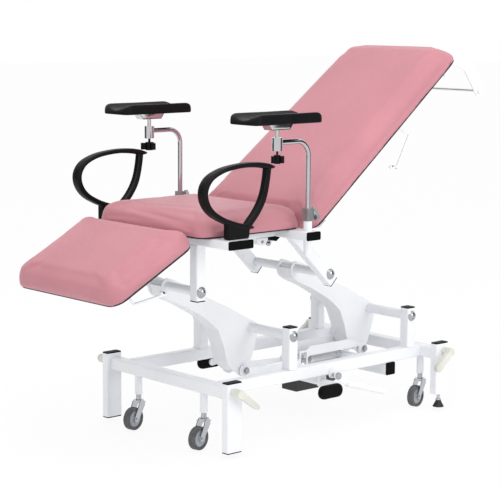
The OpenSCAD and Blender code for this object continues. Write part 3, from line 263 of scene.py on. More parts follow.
def softened(node, name, width, segments=3, angle=38, flat=0.6):
    """The node's own form with rounded edges; it stands for the node."""
    obj = copy_of(node, name)
    edit(obj)
    bpy.ops.mesh.dissolve_limited(angle_limit=math.radians(flat))
    leave_edit()
    modify(obj, "BEVEL", width=width, segments=segments, limit_method="ANGLE",
           angle_limit=math.radians(angle), use_clamp_overlap=True, miter_outer="MITER_ARC")
    smooth(obj)
    modify(obj, "WEIGHTED_NORMAL", keep_sharp=True)
    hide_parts(node)
    return obj


def twin(obj, name, matrix):
    """A second piece with a mesh of its own, moved by the matrix."""
    other = bpy.data.objects.new(name, obj.data.copy())
    bpy.context.scene.collection.objects.link(other)
    other.data.transform(matrix)
    if matrix.determinant() < 0:
        edit(other)
        bpy.ops.mesh.flip_normals()
        leave_edit()
    return other


def joined(name, parts):
    """Several pieces as one."""
    bpy.ops.object.select_all(action="DESELECT")
    for part in parts:
        part.select_set(True)
    bpy.context.view_layer.objects.active = parts[0]
    if len(parts) > 1:
        bpy.ops.object.join()
    return fresh(name)


def finish(obj, body, material):
    """Gives a piece its material and the body that it rides on."""
    obj.data.materials.clear()
    obj.data.materials.append(material)
    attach(obj, body)
    return obj


def body_of(node):
    return frame["nodes"][node]["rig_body"]


def turned_to(direction):
    """The turn that takes +Z to the direction."""
    return Vector(direction).to_track_quat("Z", "Y").to_matrix().to_4x4()


# ---- materials ------------------------------------------------------------------------------


class Surface:
    """A procedural material under construction, on Object coordinates."""

    def __init__(self, name):
        self.material = bpy.data.materials.new(name)
        self.material.use_nodes = True
        self.tree = self.material.node_tree
        self.tree.nodes.clear()
        self.out = self.tree.nodes.new("ShaderNodeOutputMaterial")
        self.shader = self.tree.nodes.new("ShaderNodeBsdfPrincipled")
        self.place = self.tree.nodes.new("ShaderNodeTexCoord").outputs["Object"]
        self.link(self.shader.outputs[0], self.out.inputs["Surface"])
        self.normal = None

    def link(self, a, b):
        self.tree.links.new(a, b)

    def node(self, kind, **values):
        made = self.tree.nodes.new(kind)
        for key, value in values.items():
            setattr(made, key, value)
        return made

    def noise(self, scale, detail=2.0, rough=0.5, stretch=(1, 1, 1)):
        """Noise from 0 to 1, its scale in cycles a metre."""
        mapping = self.node("ShaderNodeMapping")
        mapping.inputs["Scale"].default_value = stretch
        self.link(self.place, mapping.inputs["Vector"])
        made = self.node("ShaderNodeTexNoise")
        made.inputs["Scale"].default_value = scale
        made.inputs["Detail"].default_value = detail
        made.inputs["Roughness"].default_value = rough
        self.link(mapping.outputs[0], made.inputs["Vector"])
        return made.outputs["Fac"]

    def cells(self, scale, feature="F1", random=1.0):
        made = self.node("ShaderNodeTexVoronoi", feature=feature)
        made.inputs["Scale"].default_value = scale
        made.inputs["Randomness"].default_value = random
        self.link(self.place, made.inputs["Vector"])
        return made.outputs["Distance"]

    def span(self, value, low, high, start=0.3, end=0.7):
        """The value between start and end as a number from low to high."""
        made = self.node("ShaderNodeMapRange")
        for key, number in (("From Min", start), ("From Max", end),
                            ("To Min", low), ("To Max", high)):
            made.inputs[key].default_value = number
        self.link(value, made.inputs["Value"])
        return made.outputs["Result"]

    def tones(self, value, first, second, start=0.3, end=0.7):
        made = self.node("ShaderNodeValToRGB")
        for element, place, colour in zip(made.color_ramp.elements, (start, end), (first, second)):
            element.position = place
            element.color = (*colour, 1)
        self.link(value, made.inputs["Fac"])
        return made.outputs["Color"]

    def mixed(self, factor, first, second):
        made = self.node("ShaderNodeMix", data_type="RGBA")
        self.link(factor, made.inputs["Factor"])
        self.link(first, made.inputs["A"])
        self.link(second, made.inputs["B"])
        return made.outputs["Result"]

    def relief(self, value, depth, strength=1.0):
        """Raises the surface by the value; several reliefs stack."""
        made = self.node("ShaderNodeBump")
        made.inputs["Strength"].default_value = strength
        made.inputs["Distance"].default_value = depth
        self.link(value, made.inputs["Height"])
        if self.normal is not None:
            self.link(self.normal, made.inputs["Normal"])
        self.normal = made.outputs["Normal"]

    def colour(self, output):
        self.link(output, self.shader.inputs["Base Color"])

    def roughness(self, output):
        self.link(output, self.shader.inputs["Roughness"])

    def fixed(self, **values):
        for key, value in values.items():
            self.shader.inputs[key.replace("_", " ")].default_value = value

    def done(self):
        if self.normal is not None:
            self.link(self.normal, self.shader.inputs["Normal"])
        return self.material


def shade(colour, by):
    """The colour made lighter or darker."""
    return tuple(min(1.0, channel * by) for channel in colour)


def coated_steel(name, colour, gloss=0.36):
    """Powder coating: a fine orange-peel skin with faint changes of tone."""
    made = Surface(name)
    made.fixed(Metallic=0.0, IOR=1.5, Coat_Weight=0.12, Coat_Roughness=0.25)
    made.colour(made.tones(made.noise(5, 3), shade(colour, 0.965), shade(colour, 1.015)))
    made.roughness(made.span(made.noise(14, 2), gloss - 0.02, gloss + 0.03))
    made.relief(made.noise(520, 2, 0.55), 0.00008, 0.4)
    return made.done()


GRAIN = 1150  # pebbles of the vinyl in a metre


def vinyl_cover(name, colour):
    """Upholstery vinyl: small pebbled grain, stretched soft waves and a slight sheen."""
    made = Surface(name)
    made.fixed(Metallic=0.0, IOR=1.48, Specular_IOR_Level=0.35, Sheen_Weight=0.08,
               Sheen_Roughness=0.45)
    soft = made.noise(3.2, 4, 0.55)
    grain = made.cells(GRAIN)
    pores = made.span(grain, 0.0, 1.0, 0.0, 0.65)
    body = made.tones(soft, shade(colour, 0.93), shade(colour, 1.05))
    dark = made.tones(soft, shade(colour, 0.84), shade(colour, 0.95))
    made.colour(made.mixed(pores, dark, body))
    made.roughness(made.span(made.noise(60, 3), 0.44, 0.56))
    made.relief(grain, 0.00022, 0.4)
    made.relief(made.noise(2600, 2), 0.00006, 0.3)
    made.relief(made.noise(9, 3, 0.45), 0.0022, 0.22)
    return made.done()


def moulded(name, colour, rough=0.42, texture=900, depth=0.00012, specular=0.13):
    """Moulded plastic or foam skin with a fine spark texture."""
    made = Surface(name)
    made.fixed(Metallic=0.0, IOR=1.48, Specular_IOR_Level=specular)
    made.colour(made.tones(made.noise(14, 3), shade(colour, 0.88), shade(colour, 1.12)))
    made.roughness(made.span(made.noise(70, 3), rough - 0.06, rough + 0.07))
    made.relief(made.noise(texture, 2, 0.6), depth, 0.5)
    return made.done()


def plated(name, colour, rough=0.08, brushed=False):
    """Plated or drawn metal; drawn metal has fine lines along it."""
    made = Surface(name)
    made.fixed(Metallic=1.0)
    made.colour(made.tones(made.noise(18, 3), shade(colour, 0.93), shade(colour, 1.04)))
    sheen, lines = (made.noise(90, 3, 0.6, (1, 1, 0.12)), made.noise(700, 2, 0.5, (1, 1, 0.08))) \
        if brushed else (made.noise(90, 3, 0.6), made.noise(240, 2, 0.5))
    made.roughness(made.span(sheen, max(0.03, rough - 0.03), rough + 0.05))
    made.relief(lines, 0.00004, 0.4 if brushed else 0.15)
    return made.done()


def tread_rubber(name, colour):
    """Caster tyre: matt rubber with a dusty running face."""
    made = Surface(name)
    made.fixed(Metallic=0.0, IOR=1.45)
    made.colour(made.tones(made.noise(55, 4, 0.6), shade(colour, 0.8), shade(colour, 1.35)))
    made.roughness(made.span(made.noise(120, 3), 0.55, 0.75))
    made.relief(made.noise(900, 3, 0.6), 0.0002, 0.5)
    return made.done()


def cast_metal(name, colour):
    """Die-cast clamp: dull grey with a pitted skin."""
    made = Surface(name)
    made.fixed(Metallic=0.85)
    made.colour(made.tones(made.noise(60, 4, 0.6), shade(colour, 0.82), shade(colour, 1.12)))
    made.roughness(made.span(made.noise(90, 3), 0.36, 0.5))
    made.relief(made.noise(500, 3, 0.6), 0.00025, 0.55)
    return made.done()


def dark_backing(name, colour):
    """Board under the cushions, covered with a dark felted cloth."""
    made = Surface(name)
    made.fixed(Metallic=0.0, Sheen_Weight=0.15)
    made.colour(made.tones(made.noise(800, 3, 0.7), shade(colour, 0.7), shade(colour, 1.5)))
    made.roughness(made.span(made.noise(200, 3), 0.75, 0.92))
    made.relief(made.noise(1400, 3, 0.65), 0.0003, 0.6)
    return made.done()


def two_tone(name, first, second, axis, level, magnitude=False, metal=(0.0, 0.0), rough=(0.4, 0.4)):
    """Two finishes on one piece that meet at a level of one axis, or of its distance from 0."""
    made = Surface(name)
    split = made.node("ShaderNodeSeparateXYZ")
    made.link(made.place, split.inputs[0])
    value = split.outputs[axis]
    if magnitude:
        size = made.node("ShaderNodeMath", operation="ABSOLUTE")
        made.link(value, size.inputs[0])
        value = size.outputs[0]
    side = made.span(value, 0.0, 1.0, level - 0.4 * MM, level + 0.4 * MM)
    grain = made.noise(60, 3)
    low = made.tones(grain, shade(first, 0.92), shade(first, 1.06))
    high = made.tones(grain, shade(second, 0.92), shade(second, 1.06))
    made.colour(made.mixed(side, low, high))
    made.roughness(made.span(side, rough[0], rough[1], 0.0, 1.0))
    made.link(made.span(side, metal[0], metal[1], 0.0, 1.0), made.shader.inputs["Metallic"])
    made.relief(made.noise(700, 2), 0.00008, 0.4)
    return made.done()


finishes = {}


def mix_finishes(colours):
    """Every material of the chair, by name."""
    black = tuple(colours.moulding)
    white = tuple(colours.coating)
    zinc = (0.50, 0.51, 0.53)
    finishes.update({
        "coating": coated_steel("white_coating", white),
        # painted shade: the cranks get the white coating made 1.5 per cent darker, a shaded copy of
        # the same coating
        "crank_coating_painted_shade": coated_steel("crank_coating_painted_shade", shade(white, 0.985), 0.42),
        "black_coating": coated_steel("black_coating", (0.014, 0.014, 0.015), 0.4),
        "vinyl": vinyl_cover("pink_vinyl_cover", tuple(colours.vinyl)),
        "moulding": moulded("black_moulding", black, 0.40),
        "cap": moulded("black_cap", shade(black, 0.6), 0.46, 1200, 0.0001, 0.06),
        "lever": moulded("cream_moulding", tuple(colours.lever), 0.42, 700, 0.00008, 0.5),
        "hub": moulded("grey_hub", (0.36, 0.39, 0.43), 0.40, 800, 0.00006, 0.5),
        "rubber": moulded("black_rubber_skin", (0.005, 0.005, 0.005), 0.62, 700, 0.00022, 0.08),
        "tyre": tread_rubber("grey_tyre_rubber", tuple(colours.tyre)),
        "chrome": plated("chrome_plate", (0.56, 0.56, 0.58), 0.07),
        "bright": plated("bright_steel", (0.62, 0.63, 0.63), 0.16),
        "zinc": plated("zinc_plate", zinc, 0.17, True),
        "bolt": plated("bolt_zinc", (0.46, 0.47, 0.49), 0.2),
        "jack": plated("jack_zinc", (0.70, 0.71, 0.73), 0.3),
        "cast": cast_metal("cast_clamp", (0.36, 0.38, 0.38)),
        "board": dark_backing("dark_backing", (0.016, 0.014, 0.022)),
        "foot": two_tone("foot_black_and_zinc", (0.012, 0.012, 0.012), (0.6, 0.61, 0.63), "Z",
                         0.0335, metal=(0.0, 1.0), rough=(0.45, 0.25)),
        "roll_rod": two_tone("chrome_with_white_ends", (0.78, 0.78, 0.79), (0.84, 0.85, 0.87), "Y",
                             0.2415, magnitude=True, metal=(1.0, 0.0), rough=(0.1, 0.4)),
    })


# ---- pieces ---------------------------------------------------------------------------------


SWELL_FRAMES = 20


def swell(pad, up, cap):
    """Blows the cover up a little with cloth, held at its underside, each point near its start."""
    low = min(vertex.co.dot(up) for vertex in pad.data.vertices)
    held = pad.vertex_groups.new(name="held")
    for vertex in pad.data.vertices:
        height = vertex.co.dot(up) - low
        weight = 1.0 - min(1.0, max(0.0, (height - 4 * MM) / (12 * MM)))
        if weight > 0:
            held.add([vertex.index], weight, "REPLACE")
    cloth = pad.modifiers.new("Cover", "CLOTH")
    settings = cloth.settings
    settings.quality = 5
    settings.mass = 0.25
    settings.tension_stiffness = settings.compression_stiffness = 22
    settings.shear_stiffness = 12
    settings.bending_stiffness = 4
    settings.use_pressure = True
    settings.uniform_pressure_force = 4
    settings.vertex_group_mass = "held"
    settings.effector_weights.gravity = 0
    cloth.point_cache.frame_start = 1
    cloth.point_cache.frame_end = SWELL_FRAMES
    scene = bpy.context.scene
    start = [v.co.copy() for v in pad.data.vertices]
    for number in range(1, SWELL_FRAMES + 1):
        scene.frame_set(number)
    view = bpy.context.evaluated_depsgraph_get()
    shape = [v.co.copy() for v in pad.evaluated_get(view).data.vertices]
    pad.modifiers.remove(cloth)
    scene.frame_set(1)
    for vertex, before, after in zip(pad.data.vertices, start, shape):
        move = after - before
        if move.length > cap:
            move = move * (cap / move.length)
        vertex.co = before + move
    pad.vertex_groups.remove(held)


def crease(pad, folds, to_pad):
    """Presses soft folds into the cover, each between two places, with a width and a depth."""
    back = to_pad.inverted()
    for start, end, width, depth in folds:
        start, run = Vector(start), Vector(end) - Vector(start)
        moves = []
        for vertex in pad.data.vertices:
            offset = back @ vertex.co - start
            share = offset.dot(run) / run.length_squared
            if not 0 < share < 1:
                continue
            gap = (offset - run * share).length / width
            if gap < 3:
                dip, lip = math.exp(-gap * gap), math.exp(-(gap - 1.6) ** 2)
                press = depth * math.sin(math.pi * share) ** 0.6 * (1.5 * dip - 0.5 * lip)
                moves.append((vertex, vertex.normal * press))
        for vertex, move in moves:
            vertex.co = vertex.co - move


def draw_down(pad, to_pad, drop, reach):
    """Draws the lower rim of a cover down and out over the edge of its board."""
    back = to_pad.inverted()
    places = [back @ vertex.co for vertex in pad.data.vertices]
    low = min(place.z for place in places)
    near, far = min(place.x for place in places), max(place.x for place in places)
    middle, half = (near + far) / 2, (far - near) / 2
    side = max(place.y for place in places)
    for vertex, place in zip(pad.data.vertices, places):
        if place.z < low + 2 * MM:
            place.x += reach * (place.x - middle) / half
            place.y += reach * place.y / side
            place.z -= drop
            vertex.co = to_pad @ place


def round_corners(pad, to_pad, radius, share, at_far_end):
    """Rounds the two corners at one end of a cover a little more in plan."""
    back = to_pad.inverted()
    places = [back @ vertex.co for vertex in pad.data.vertices]
    end = max(place.x for place in places) if at_far_end else min(place.x for place in places)
    outward = 1 if at_far_end else -1
    close = [abs(place.y) for place in places if abs(place.x - end) < 2 * radius]
    side = max(close)
    for vertex, place in zip(pad.data.vertices, places):
        ahead = outward * (place.x - end) + radius
        aside = abs(place.y) - (side - radius)
        if ahead > 0 and aside > 0:
            height = min(1.0, max(0.0, (place.z - 14 * MM) / (34 * MM)))
            scale = 1 - share * height * math.sin(2 * math.atan2(aside, ahead))
            place.x = end + outward * (ahead * scale - radius)
            place.y = math.copysign(side - radius + aside * scale, place.y)
            vertex.co = to_pad @ place


RIM_REACH = 4.5 * MM


def pad_frame(origin, tilt):
    """Puts a section's own places (length, width, height) into the frame."""
    return Matrix.Translation(origin) @ Matrix.Rotation(tilt, 4, "Y")


def cushion(node, name, tilt, origin, folds, sizes, corners=None):
    """One upholstered pad: its form from the CAD solid, swollen, creased and smoothed."""
    pad = copy_of(node, name)
    to_pad = pad_frame(origin, tilt)
    draw_down(pad, to_pad, sizes.rim_drop, RIM_REACH)
    remeshed(pad, sizes.cushion_grid)
    modify(pad, "SMOOTH", factor=0.5, iterations=16)
    up = (to_pad.to_3x3() @ Vector((0, 0, 1))).normalized()
    swell(pad, up, sizes.cushion_swell)
    modify(pad, "SMOOTH", factor=0.5, iterations=4)
    crease(pad, folds, to_pad)
    if corners:
        round_corners(pad, to_pad, *corners)
    modify(pad, "SUBSURF", levels=1, render_levels=1)
    alone(pad)
    bpy.ops.object.shade_smooth()
    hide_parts(node)
    finish(pad, body_of(node), finishes["vinyl"])
    return pad


# Folds in a cushion's own places, in metres: start, end, width, depth
SEAT_FOLDS = (
    ((0.024, 0.16, 0.070), (0.003, -0.22, 0.045), 0.012, 0.0042),
    ((0.050, 0.12, 0.074), (0.110, -0.16, 0.074), 0.020, 0.0014),
    ((0.385, -0.17, 0.073), (0.422, -0.268, 0.030), 0.011, 0.0034),
    ((0.385, 0.17, 0.073), (0.422, 0.268, 0.030), 0.011, 0.0034),
)
LEG_FOLDS = (
    ((-0.035, 0.22, 0.055), (-0.020, -0.25, 0.050), 0.016, 0.0016),
    ((-0.06, -0.20, 0.062), (-0.20, -0.245, 0.062), 0.014, 0.0012),
)
BACK_FOLDS = (((0.030, 0.20, 0.058), (0.030, -0.20, 0.058), 0.014, 0.0016),)
# Rounding of a cushion's free corners: radius, share taken off, at the far end or not
LEG_CORNERS = (0.085, 0.10, False)
BACK_CORNERS = (0.095, 0.15, True)


class CHAIR_OT_upholstery(bpy.types.Operator):
    """Makes the seat, leg and back cushions"""

    bl_idname = "chair.upholstery"
    bl_label = "Upholstery"

    def execute(self, context):
        sizes = context.scene.chair_sizes
        cushion("seat_cushion", "seat_pad", 0.0, spot(-62, 0, 683), SEAT_FOLDS, sizes)
        cushion("leg_cushion", "leg_pad", -LEG_DROOP, leg_spot(-23, 0, 15), LEG_FOLDS, sizes,
                LEG_CORNERS)
        cushion("back_cushion", "back_pad", -BACK_SLOPE, back_spot(-22, 0, 11), BACK_FOLDS, sizes,
                BACK_CORNERS)
        for node in ("seat_board", "leg_board", "back_board"):
            paint(node, "board")
        return {"FINISHED"}


def paint(node, finish_name):
    """Gives a CAD node its material."""
    mesh = frame["nodes"][node].data
    mesh.materials.clear()
    mesh.materials.append(finishes[finish_name])


# Loop armrest, near side, in millimetres: x, z, thickness in the loop's plane, width across
LOOP_BAND = (
    (104, 713.5, 6, 12), (86, 716, 14, 26), (60, 720, 17, 32), (28, 728, 17, 34),
    (-8, 739.5, 17.5, 34), (-37, 752.5, 18, 35), (-62, 767, 18.5, 36), (-82, 786, 19, 37),
    (-95, 810, 19.5, 38), (-98, 834, 19.5, 38), (-91, 855, 19, 38), (-75, 873.5, 17, 38),
    (-50, 887, 15, 38), (-17, 897.5, 14.5, 37), (25, 904, 14.5, 36), (70, 907, 15, 36),
    (115, 905, 17, 36), (148, 900.5, 18, 34), (170, 896.5, 14.5, 28), (189, 894.5, 5.5, 13))
LOOP_POST = (
    (160, 896, 16, 31), (158, 876, 16, 31), (153.5, 849, 16, 31), (147, 821, 16.5, 31),
    (138, 797, 17, 32), (126, 776, 17.5, 32), (109, 753.5, 18, 32), (89, 733, 18.5, 32),
    (76, 718, 19, 31))
POST_HOLLOW = 4.2
RING_CORNERS = 20


def curve_through(points, steps):
    """More points on a smooth curve through the given ones."""
    out = []
    for index in range(len(points) - 1):
        a, b, c, d = (Vector(points[max(0, min(len(points) - 1, index + step))])
                      for step in (-1, 0, 1, 2))
        for step in range(steps):
            t = step / steps
            out.append(0.5 * (2 * b + (c - a) * t + (2 * a - 5 * b + 4 * c - d) * t * t
                              + (3 * b - a - 3 * c + d) * t ** 3))
    return out + [Vector(points[-1])]


def band(name, stations, hollow=0.0):
    """A closed band along the stations, with rounded edges and, where asked, a hollow front."""
    mesh = bmesh.new()
    path = curve_through(stations, 5)
    rings = []
    for index, (x, z, thick, wide) in enumerate(path):
        before, after = path[max(0, index - 1)], path[min(len(path) - 1, index + 1)]
        along = Vector((after[0] - before[0], after[1] - before[1])).normalized()
        ring = []
        for corner in range(RING_CORNERS):
            angle = math.tau * corner / RING_CORNERS
            cosine, sine = math.cos(angle), math.sin(angle)
            across = math.copysign(abs(cosine) ** 0.55, cosine)
            out = math.copysign(abs(sine) ** 0.7, sine) * thick / 2
            if sine > 0:
                out -= hollow * max(0.0, 1 - (across / 0.62) ** 4)
            place = spot(x + along[1] * out, across * wide / 2 - ARM_Y, z - along[0] * out)
            ring.append(mesh.verts.new(place))
        rings.append(ring)
    for first, second in zip(rings, rings[1:]):
        for corner in range(RING_CORNERS):
            after = (corner + 1) % RING_CORNERS
            mesh.faces.new((first[corner], first[after], second[after], second[corner]))
    mesh.faces.new(rings[0])
    mesh.faces.new(rings[-1])
    bmesh.ops.recalc_face_normals(mesh, faces=mesh.faces)
    data = bpy.data.meshes.new(name)
    mesh.to_mesh(data)
    mesh.free()
    obj = bpy.data.objects.new(name, data)
    bpy.context.scene.collection.objects.link(obj)
    return obj


def loop_foot(name):
    """The block under the loop, narrower towards the head end and rounded down its edges."""
    middle = spot(38, -ARM_Y, 704)
    foot = added(name, bpy.ops.mesh.primitive_cube_add, size=1, location=middle,
                 scale=(0.088, 0.029, 0.042))
    for vertex in foot.data.vertices:
        high, ahead = vertex.co.z > middle.z, vertex.co.x > middle.x
        if high and not ahead:
            vertex.co.z += 9 * MM
        if ahead and not high:
            vertex.co.x -= 4 * MM
    return rounded(foot, 5.5 * MM, 4)


class CHAIR_OT_armrests(bpy.types.Operator):
    """Makes the loop armrests and the arm pads"""

    bl_idname = "chair.armrests"
    bl_label = "Armrests and arm pads"

    def execute(self, context):
        sizes = context.scene.chair_sizes
        near = joined("armrest_loop_near", [
            band("band", LOOP_BAND), band("post", LOOP_POST, POST_HOLLOW), loop_foot("foot")])
        remeshed(near, sizes.loop_grid)
        modify(near, "SMOOTH", factor=0.5, iterations=5)
        smooth(near, 60)
        far = twin(near, "armrest_loop_far", Matrix.Scale(-1, 4, (0, 1, 0)))
        for loop, side in ((near, "near"), (far, "far")):
            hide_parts("loop_armrest_" + side)
            finish(loop, "upper", finishes["moulding"])
        for side in ("near", "far"):
            node = "arm_pad_" + side
            pad = remeshed(copy_of(node, "forearm_pad_" + side), sizes.pad_grid)
            modify(pad, "SMOOTH", factor=0.5, iterations=14)
            modify(pad, "SUBSURF", levels=1, render_levels=1)
            smooth(pad, 60)
            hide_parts(node)
            finish(pad, body_of(node), finishes["moulding"])
        return {"FINISHED"}


def cheek(name, y):
    """A plate that closes one side of a tray bracket, wider at the top."""
    middle = spot(PAD_PIN_X, y, 1018)
    plate = added(name, bpy.ops.mesh.primitive_cube_add, size=1, location=middle,
                  scale=(0.077, 0.0016, 0.020))
    for vertex in plate.data.vertices:
        if vertex.co.z > middle.z:
            vertex.co.x += math.copysign(13.5 * MM, vertex.co.x - middle.x)
    return rounded(plate, 0.5 * MM, 2)


def reshaped(piece, centre, matrix):
    """Turns or scales a piece about a centre."""
    piece.data.transform(Matrix.Translation(centre) @ matrix @ Matrix.Translation(-centre))


CHEEK_OFFSET = 15.6
KNOB_TURN = Matrix.Rotation(math.radians(30), 4, "Z")


class CHAIR_OT_arm_supports(bpy.types.Operator):
    """Finishes the poles, clamps, wing screws, knobs and pad brackets"""

    bl_idname = "chair.arm_supports"
    bl_label = "Arm supports"

    def execute(self, context):
        edge = context.scene.chair_sizes.steel_round
        for side in ("near", "far"):
            for part, name, width, slot, finish_name in (
                    ("clamp_", "pole_clamp_", 3 * edge, "clamp_alloy", "cast"),
                    ("wing_", "wing_screw_", 2.5 * edge, "clamp_alloy", "cast"),
                    ("knob_", "star_knob_", 2 * edge, "black_plastic", "moulding"),
                    ("pad_bracket_", "tray_bracket_", 0.6 * edge, "chrome_steel", "bright")):
                piece = softened(part + side, name + side, width, 3)
                middle = -ARM_Y if side == "near" else ARM_Y
                if name == "pole_clamp_":
                    reshaped(piece, spot(POLE_X, middle, 0), Matrix.Diagonal((0.74, 0.74, 1, 1)))
                if name == "wing_screw_":
                    reshaped(piece, spot(POLE_X + 10, middle, 0), Matrix.Diagonal((1.4, 1, 1, 1)))
                if name == "star_knob_" and side == "near":
                    reshaped(piece, spot(PAD_PIN_X, middle, 0),
                             KNOB_TURN @ Matrix.Diagonal((0.8, 0.8, 1, 1)))
                if name == "tray_bracket_":
                    cheeks = [cheek("cheek", middle + offset)
                              for offset in (-CHEEK_OFFSET, CHEEK_OFFSET)]
                    piece = smooth(joined(name + side, [piece, *cheeks]))
                finish(piece, body_of(part + side), finishes[finish_name])
            paint("pole_" + side, "chrome")
        return {"FINISHED"}


LEVER_DIP = math.radians(37)
LEVER_LENGTH = 78 * MM
LEVER_TAPER = 0.42


def taper_arms(lever):
    """Narrows the arms of the foot-end lever towards their tips."""
    start = spot(LEVER_SHAFT[0], 0, LEVER_SHAFT[1])
    along = (math.cos(LEVER_DIP), -math.sin(LEVER_DIP))
    for vertex in lever.data.vertices:
        x, z = vertex.co.x - start.x, vertex.co.z - start.z
        run = (x * along[0] + z * along[1]) / LEVER_LENGTH
        if run > 0.2:
            aside = x * along[1] - z * along[0]
            move = aside * LEVER_TAPER * min(1.0, run)
            vertex.co.x -= move * along[1]
            vertex.co.z += move * along[0]


class CHAIR_OT_casters(bpy.types.Operator):
    """Finishes the casters, their stems, the caster levers and the levelling feet"""

    bl_idname = "chair.casters"
    bl_label = "Casters and levers"

    def execute(self, context):
        edge = context.scene.chair_sizes.steel_round
        for end in ("foot", "head"):
            lever = softened("retract_lever_" + end, "caster_lever_" + end, 2.5 * edge, 3)
            if end == "foot":
                taper_arms(lever)
            finish(lever, body_of("retract_lever_" + end), finishes["lever"])
            paint("caster_stems_" + end, "bolt")
            for side in ("near", "far"):
                tag = "{}_{}".format(end, side)
                for part, name, form, slot, finish_name in (
                        ("fork_", "caster_fork_", (0.7 * edge, 2), "zinc_steel", "zinc"),
                        ("hub_", "wheel_hub_", (edge, 3), "grey_hub", "hub"),
                        ("tyre_", "wheel_tyre_", (2 * edge, 3, 25), "grey_tyre", "tyre")):
                    piece = softened(part + tag, name + tag, *form)
                    finish(piece, body_of(part + tag), finishes[finish_name])
        for side in ("near", "far"):
            foot = softened("levelling_foot_" + side, "level_foot_" + side, edge, 3)
            finish(foot, body_of("levelling_foot_" + side), finishes["foot"])
        return {"FINISHED"}


class CHAIR_OT_lift(bpy.types.Operator):
    """Finishes the cranks, the link bar, the jack and the pump"""

    bl_idname = "chair.lift"
    bl_label = "Lift"

    def execute(self, context):
        for node in ("crank_front", "crank_rear"):
            # painted shade: the cranks take the darker, shaded copy of the white coating
            paint(node, "crank_coating_painted_shade")
        pads = softened("pump_pads", "foot_pads", 0.011, 5)
        finish(pads, body_of("pump_pads"), finishes["rubber"])
        for node, finish_name in (
                ("link_bar", "coating"), ("jack_rod", "chrome"), ("jack_cylinder", "jack"),
                ("pump_unit", "black_coating"), ("pump_pedal", "coating"),
                ("release_lever", "coating")):
            paint(node, finish_name)
        return {"FINISHED"}


class CHAIR_OT_frames(bpy.types.Operator):
    """Coats the steel frames and finishes their caps, bolts, handles and the roll holder"""

    bl_idname = "chair.frames"
    bl_label = "Frames"

    def execute(self, context):
        for node in ("base_frame", "upper_frame", "leg_frame", "back_frame"):
            paint(node, "coating")
        for node in ("base_caps", "upper_caps"):
            caps = softened(node, node.replace("caps", "plugs"), 1.2 * MM, 2)
            finish(caps, body_of(node), finishes["cap"])
        for node in ("base_bolts", "upper_bolts"):
            paint(node, "bolt")
        paint("roll_rod", "roll_rod")
        paint("gas_cylinder", "black_coating")
        paint("gas_rod", "chrome")
        paint("back_handle", "coating")
        paint("leg_handle", "coating")
        return {"FINISHED"}


WASHER = 1.5 * MM


def bolt_head(name, radius, height):
    """A hexagon head with a chamfered top on its washer, standing at the origin."""
    head = added("head", bpy.ops.mesh.primitive_cylinder_add, vertices=6, radius=radius,
                 depth=height, location=(0, 0, height / 2 + WASHER))
    edit(head, "DESELECT")
    leave_edit()
    for face in head.data.polygons:
        face.select = face.normal.z > 0.9
    alone(head)
    bpy.ops.object.mode_set(mode="EDIT")
    bpy.ops.mesh.select_mode(type="FACE")
    bpy.ops.mesh.inset(thickness=0.16 * radius)
    bpy.ops.transform.translate(value=(0, 0, 0.18 * height))
    bpy.ops.mesh.inset(thickness=0.45 * radius)
    bpy.ops.transform.translate(value=(0, 0, -0.10 * height))
    leave_edit()
    rounded(head, 0.05 * radius, 2, 30)
    washer = added("washer", bpy.ops.mesh.primitive_cylinder_add, vertices=40,
                   radius=1.5 * radius, depth=WASHER, location=(0, 0, WASHER / 2))
    rounded(washer, 0.4 * MM, 2)
    return smooth(joined(name, [head, washer]), 30)


def sleeve(name, start, end, radius):
    """A push-on plastic sleeve with a rounded, closed end."""
    run = end - start
    tube = added(name, bpy.ops.mesh.primitive_cylinder_add, vertices=32, radius=radius,
                 depth=run.length, location=(0, 0, run.length / 2))
    rounded(tube, 0.45 * radius, 4)
    tube.data.transform(Matrix.Translation(start) @ turned_to(run))
    return smooth(tube, 35)


def bead(name, corners, radius):
    """A weld bead that runs round the corners, uneven as a real one."""
    curve = bpy.data.curves.new(name, "CURVE")
    curve.dimensions = "3D"
    curve.bevel_depth = radius
    curve.bevel_resolution = 2
    line = curve.splines.new("POLY")
    places = []
    for first, second in zip(corners, corners[1:]):
        steps = max(2, int((second - first).length / (1.8 * MM)))
        places += [first.lerp(second, step / steps) for step in range(steps)]
    places.append(corners[-1])
    line.points.add(len(places) - 1)
    for index, (point, place) in enumerate(zip(line.points, places)):
        point.co = (*(place + 0.3 * MM * noise.noise_vector(place * 400)), 1)
        point.radius = 1.0 + 0.22 * math.sin(index * 1.9)
    obj = bpy.data.objects.new(name, curve)
    bpy.context.scene.collection.objects.link(obj)
    alone(obj)
    bpy.ops.object.convert(target="MESH")
    return smooth(fresh(name), 60)


# Places in millimetres: the link bar's bolts (x, y, z), the base's posts (x, y) and their welds
LINK_BOLTS_X = (315, 875)
LINK_BOLTS_Y = 52
LINK_BOLTS_Z = 189
BASE_POSTS_X = (351, 911)
BASE_POSTS_Y = 223
POST_HALF = 19
WELD_Z = 220.5
GRIP_RADIUS = 5.6 * MM


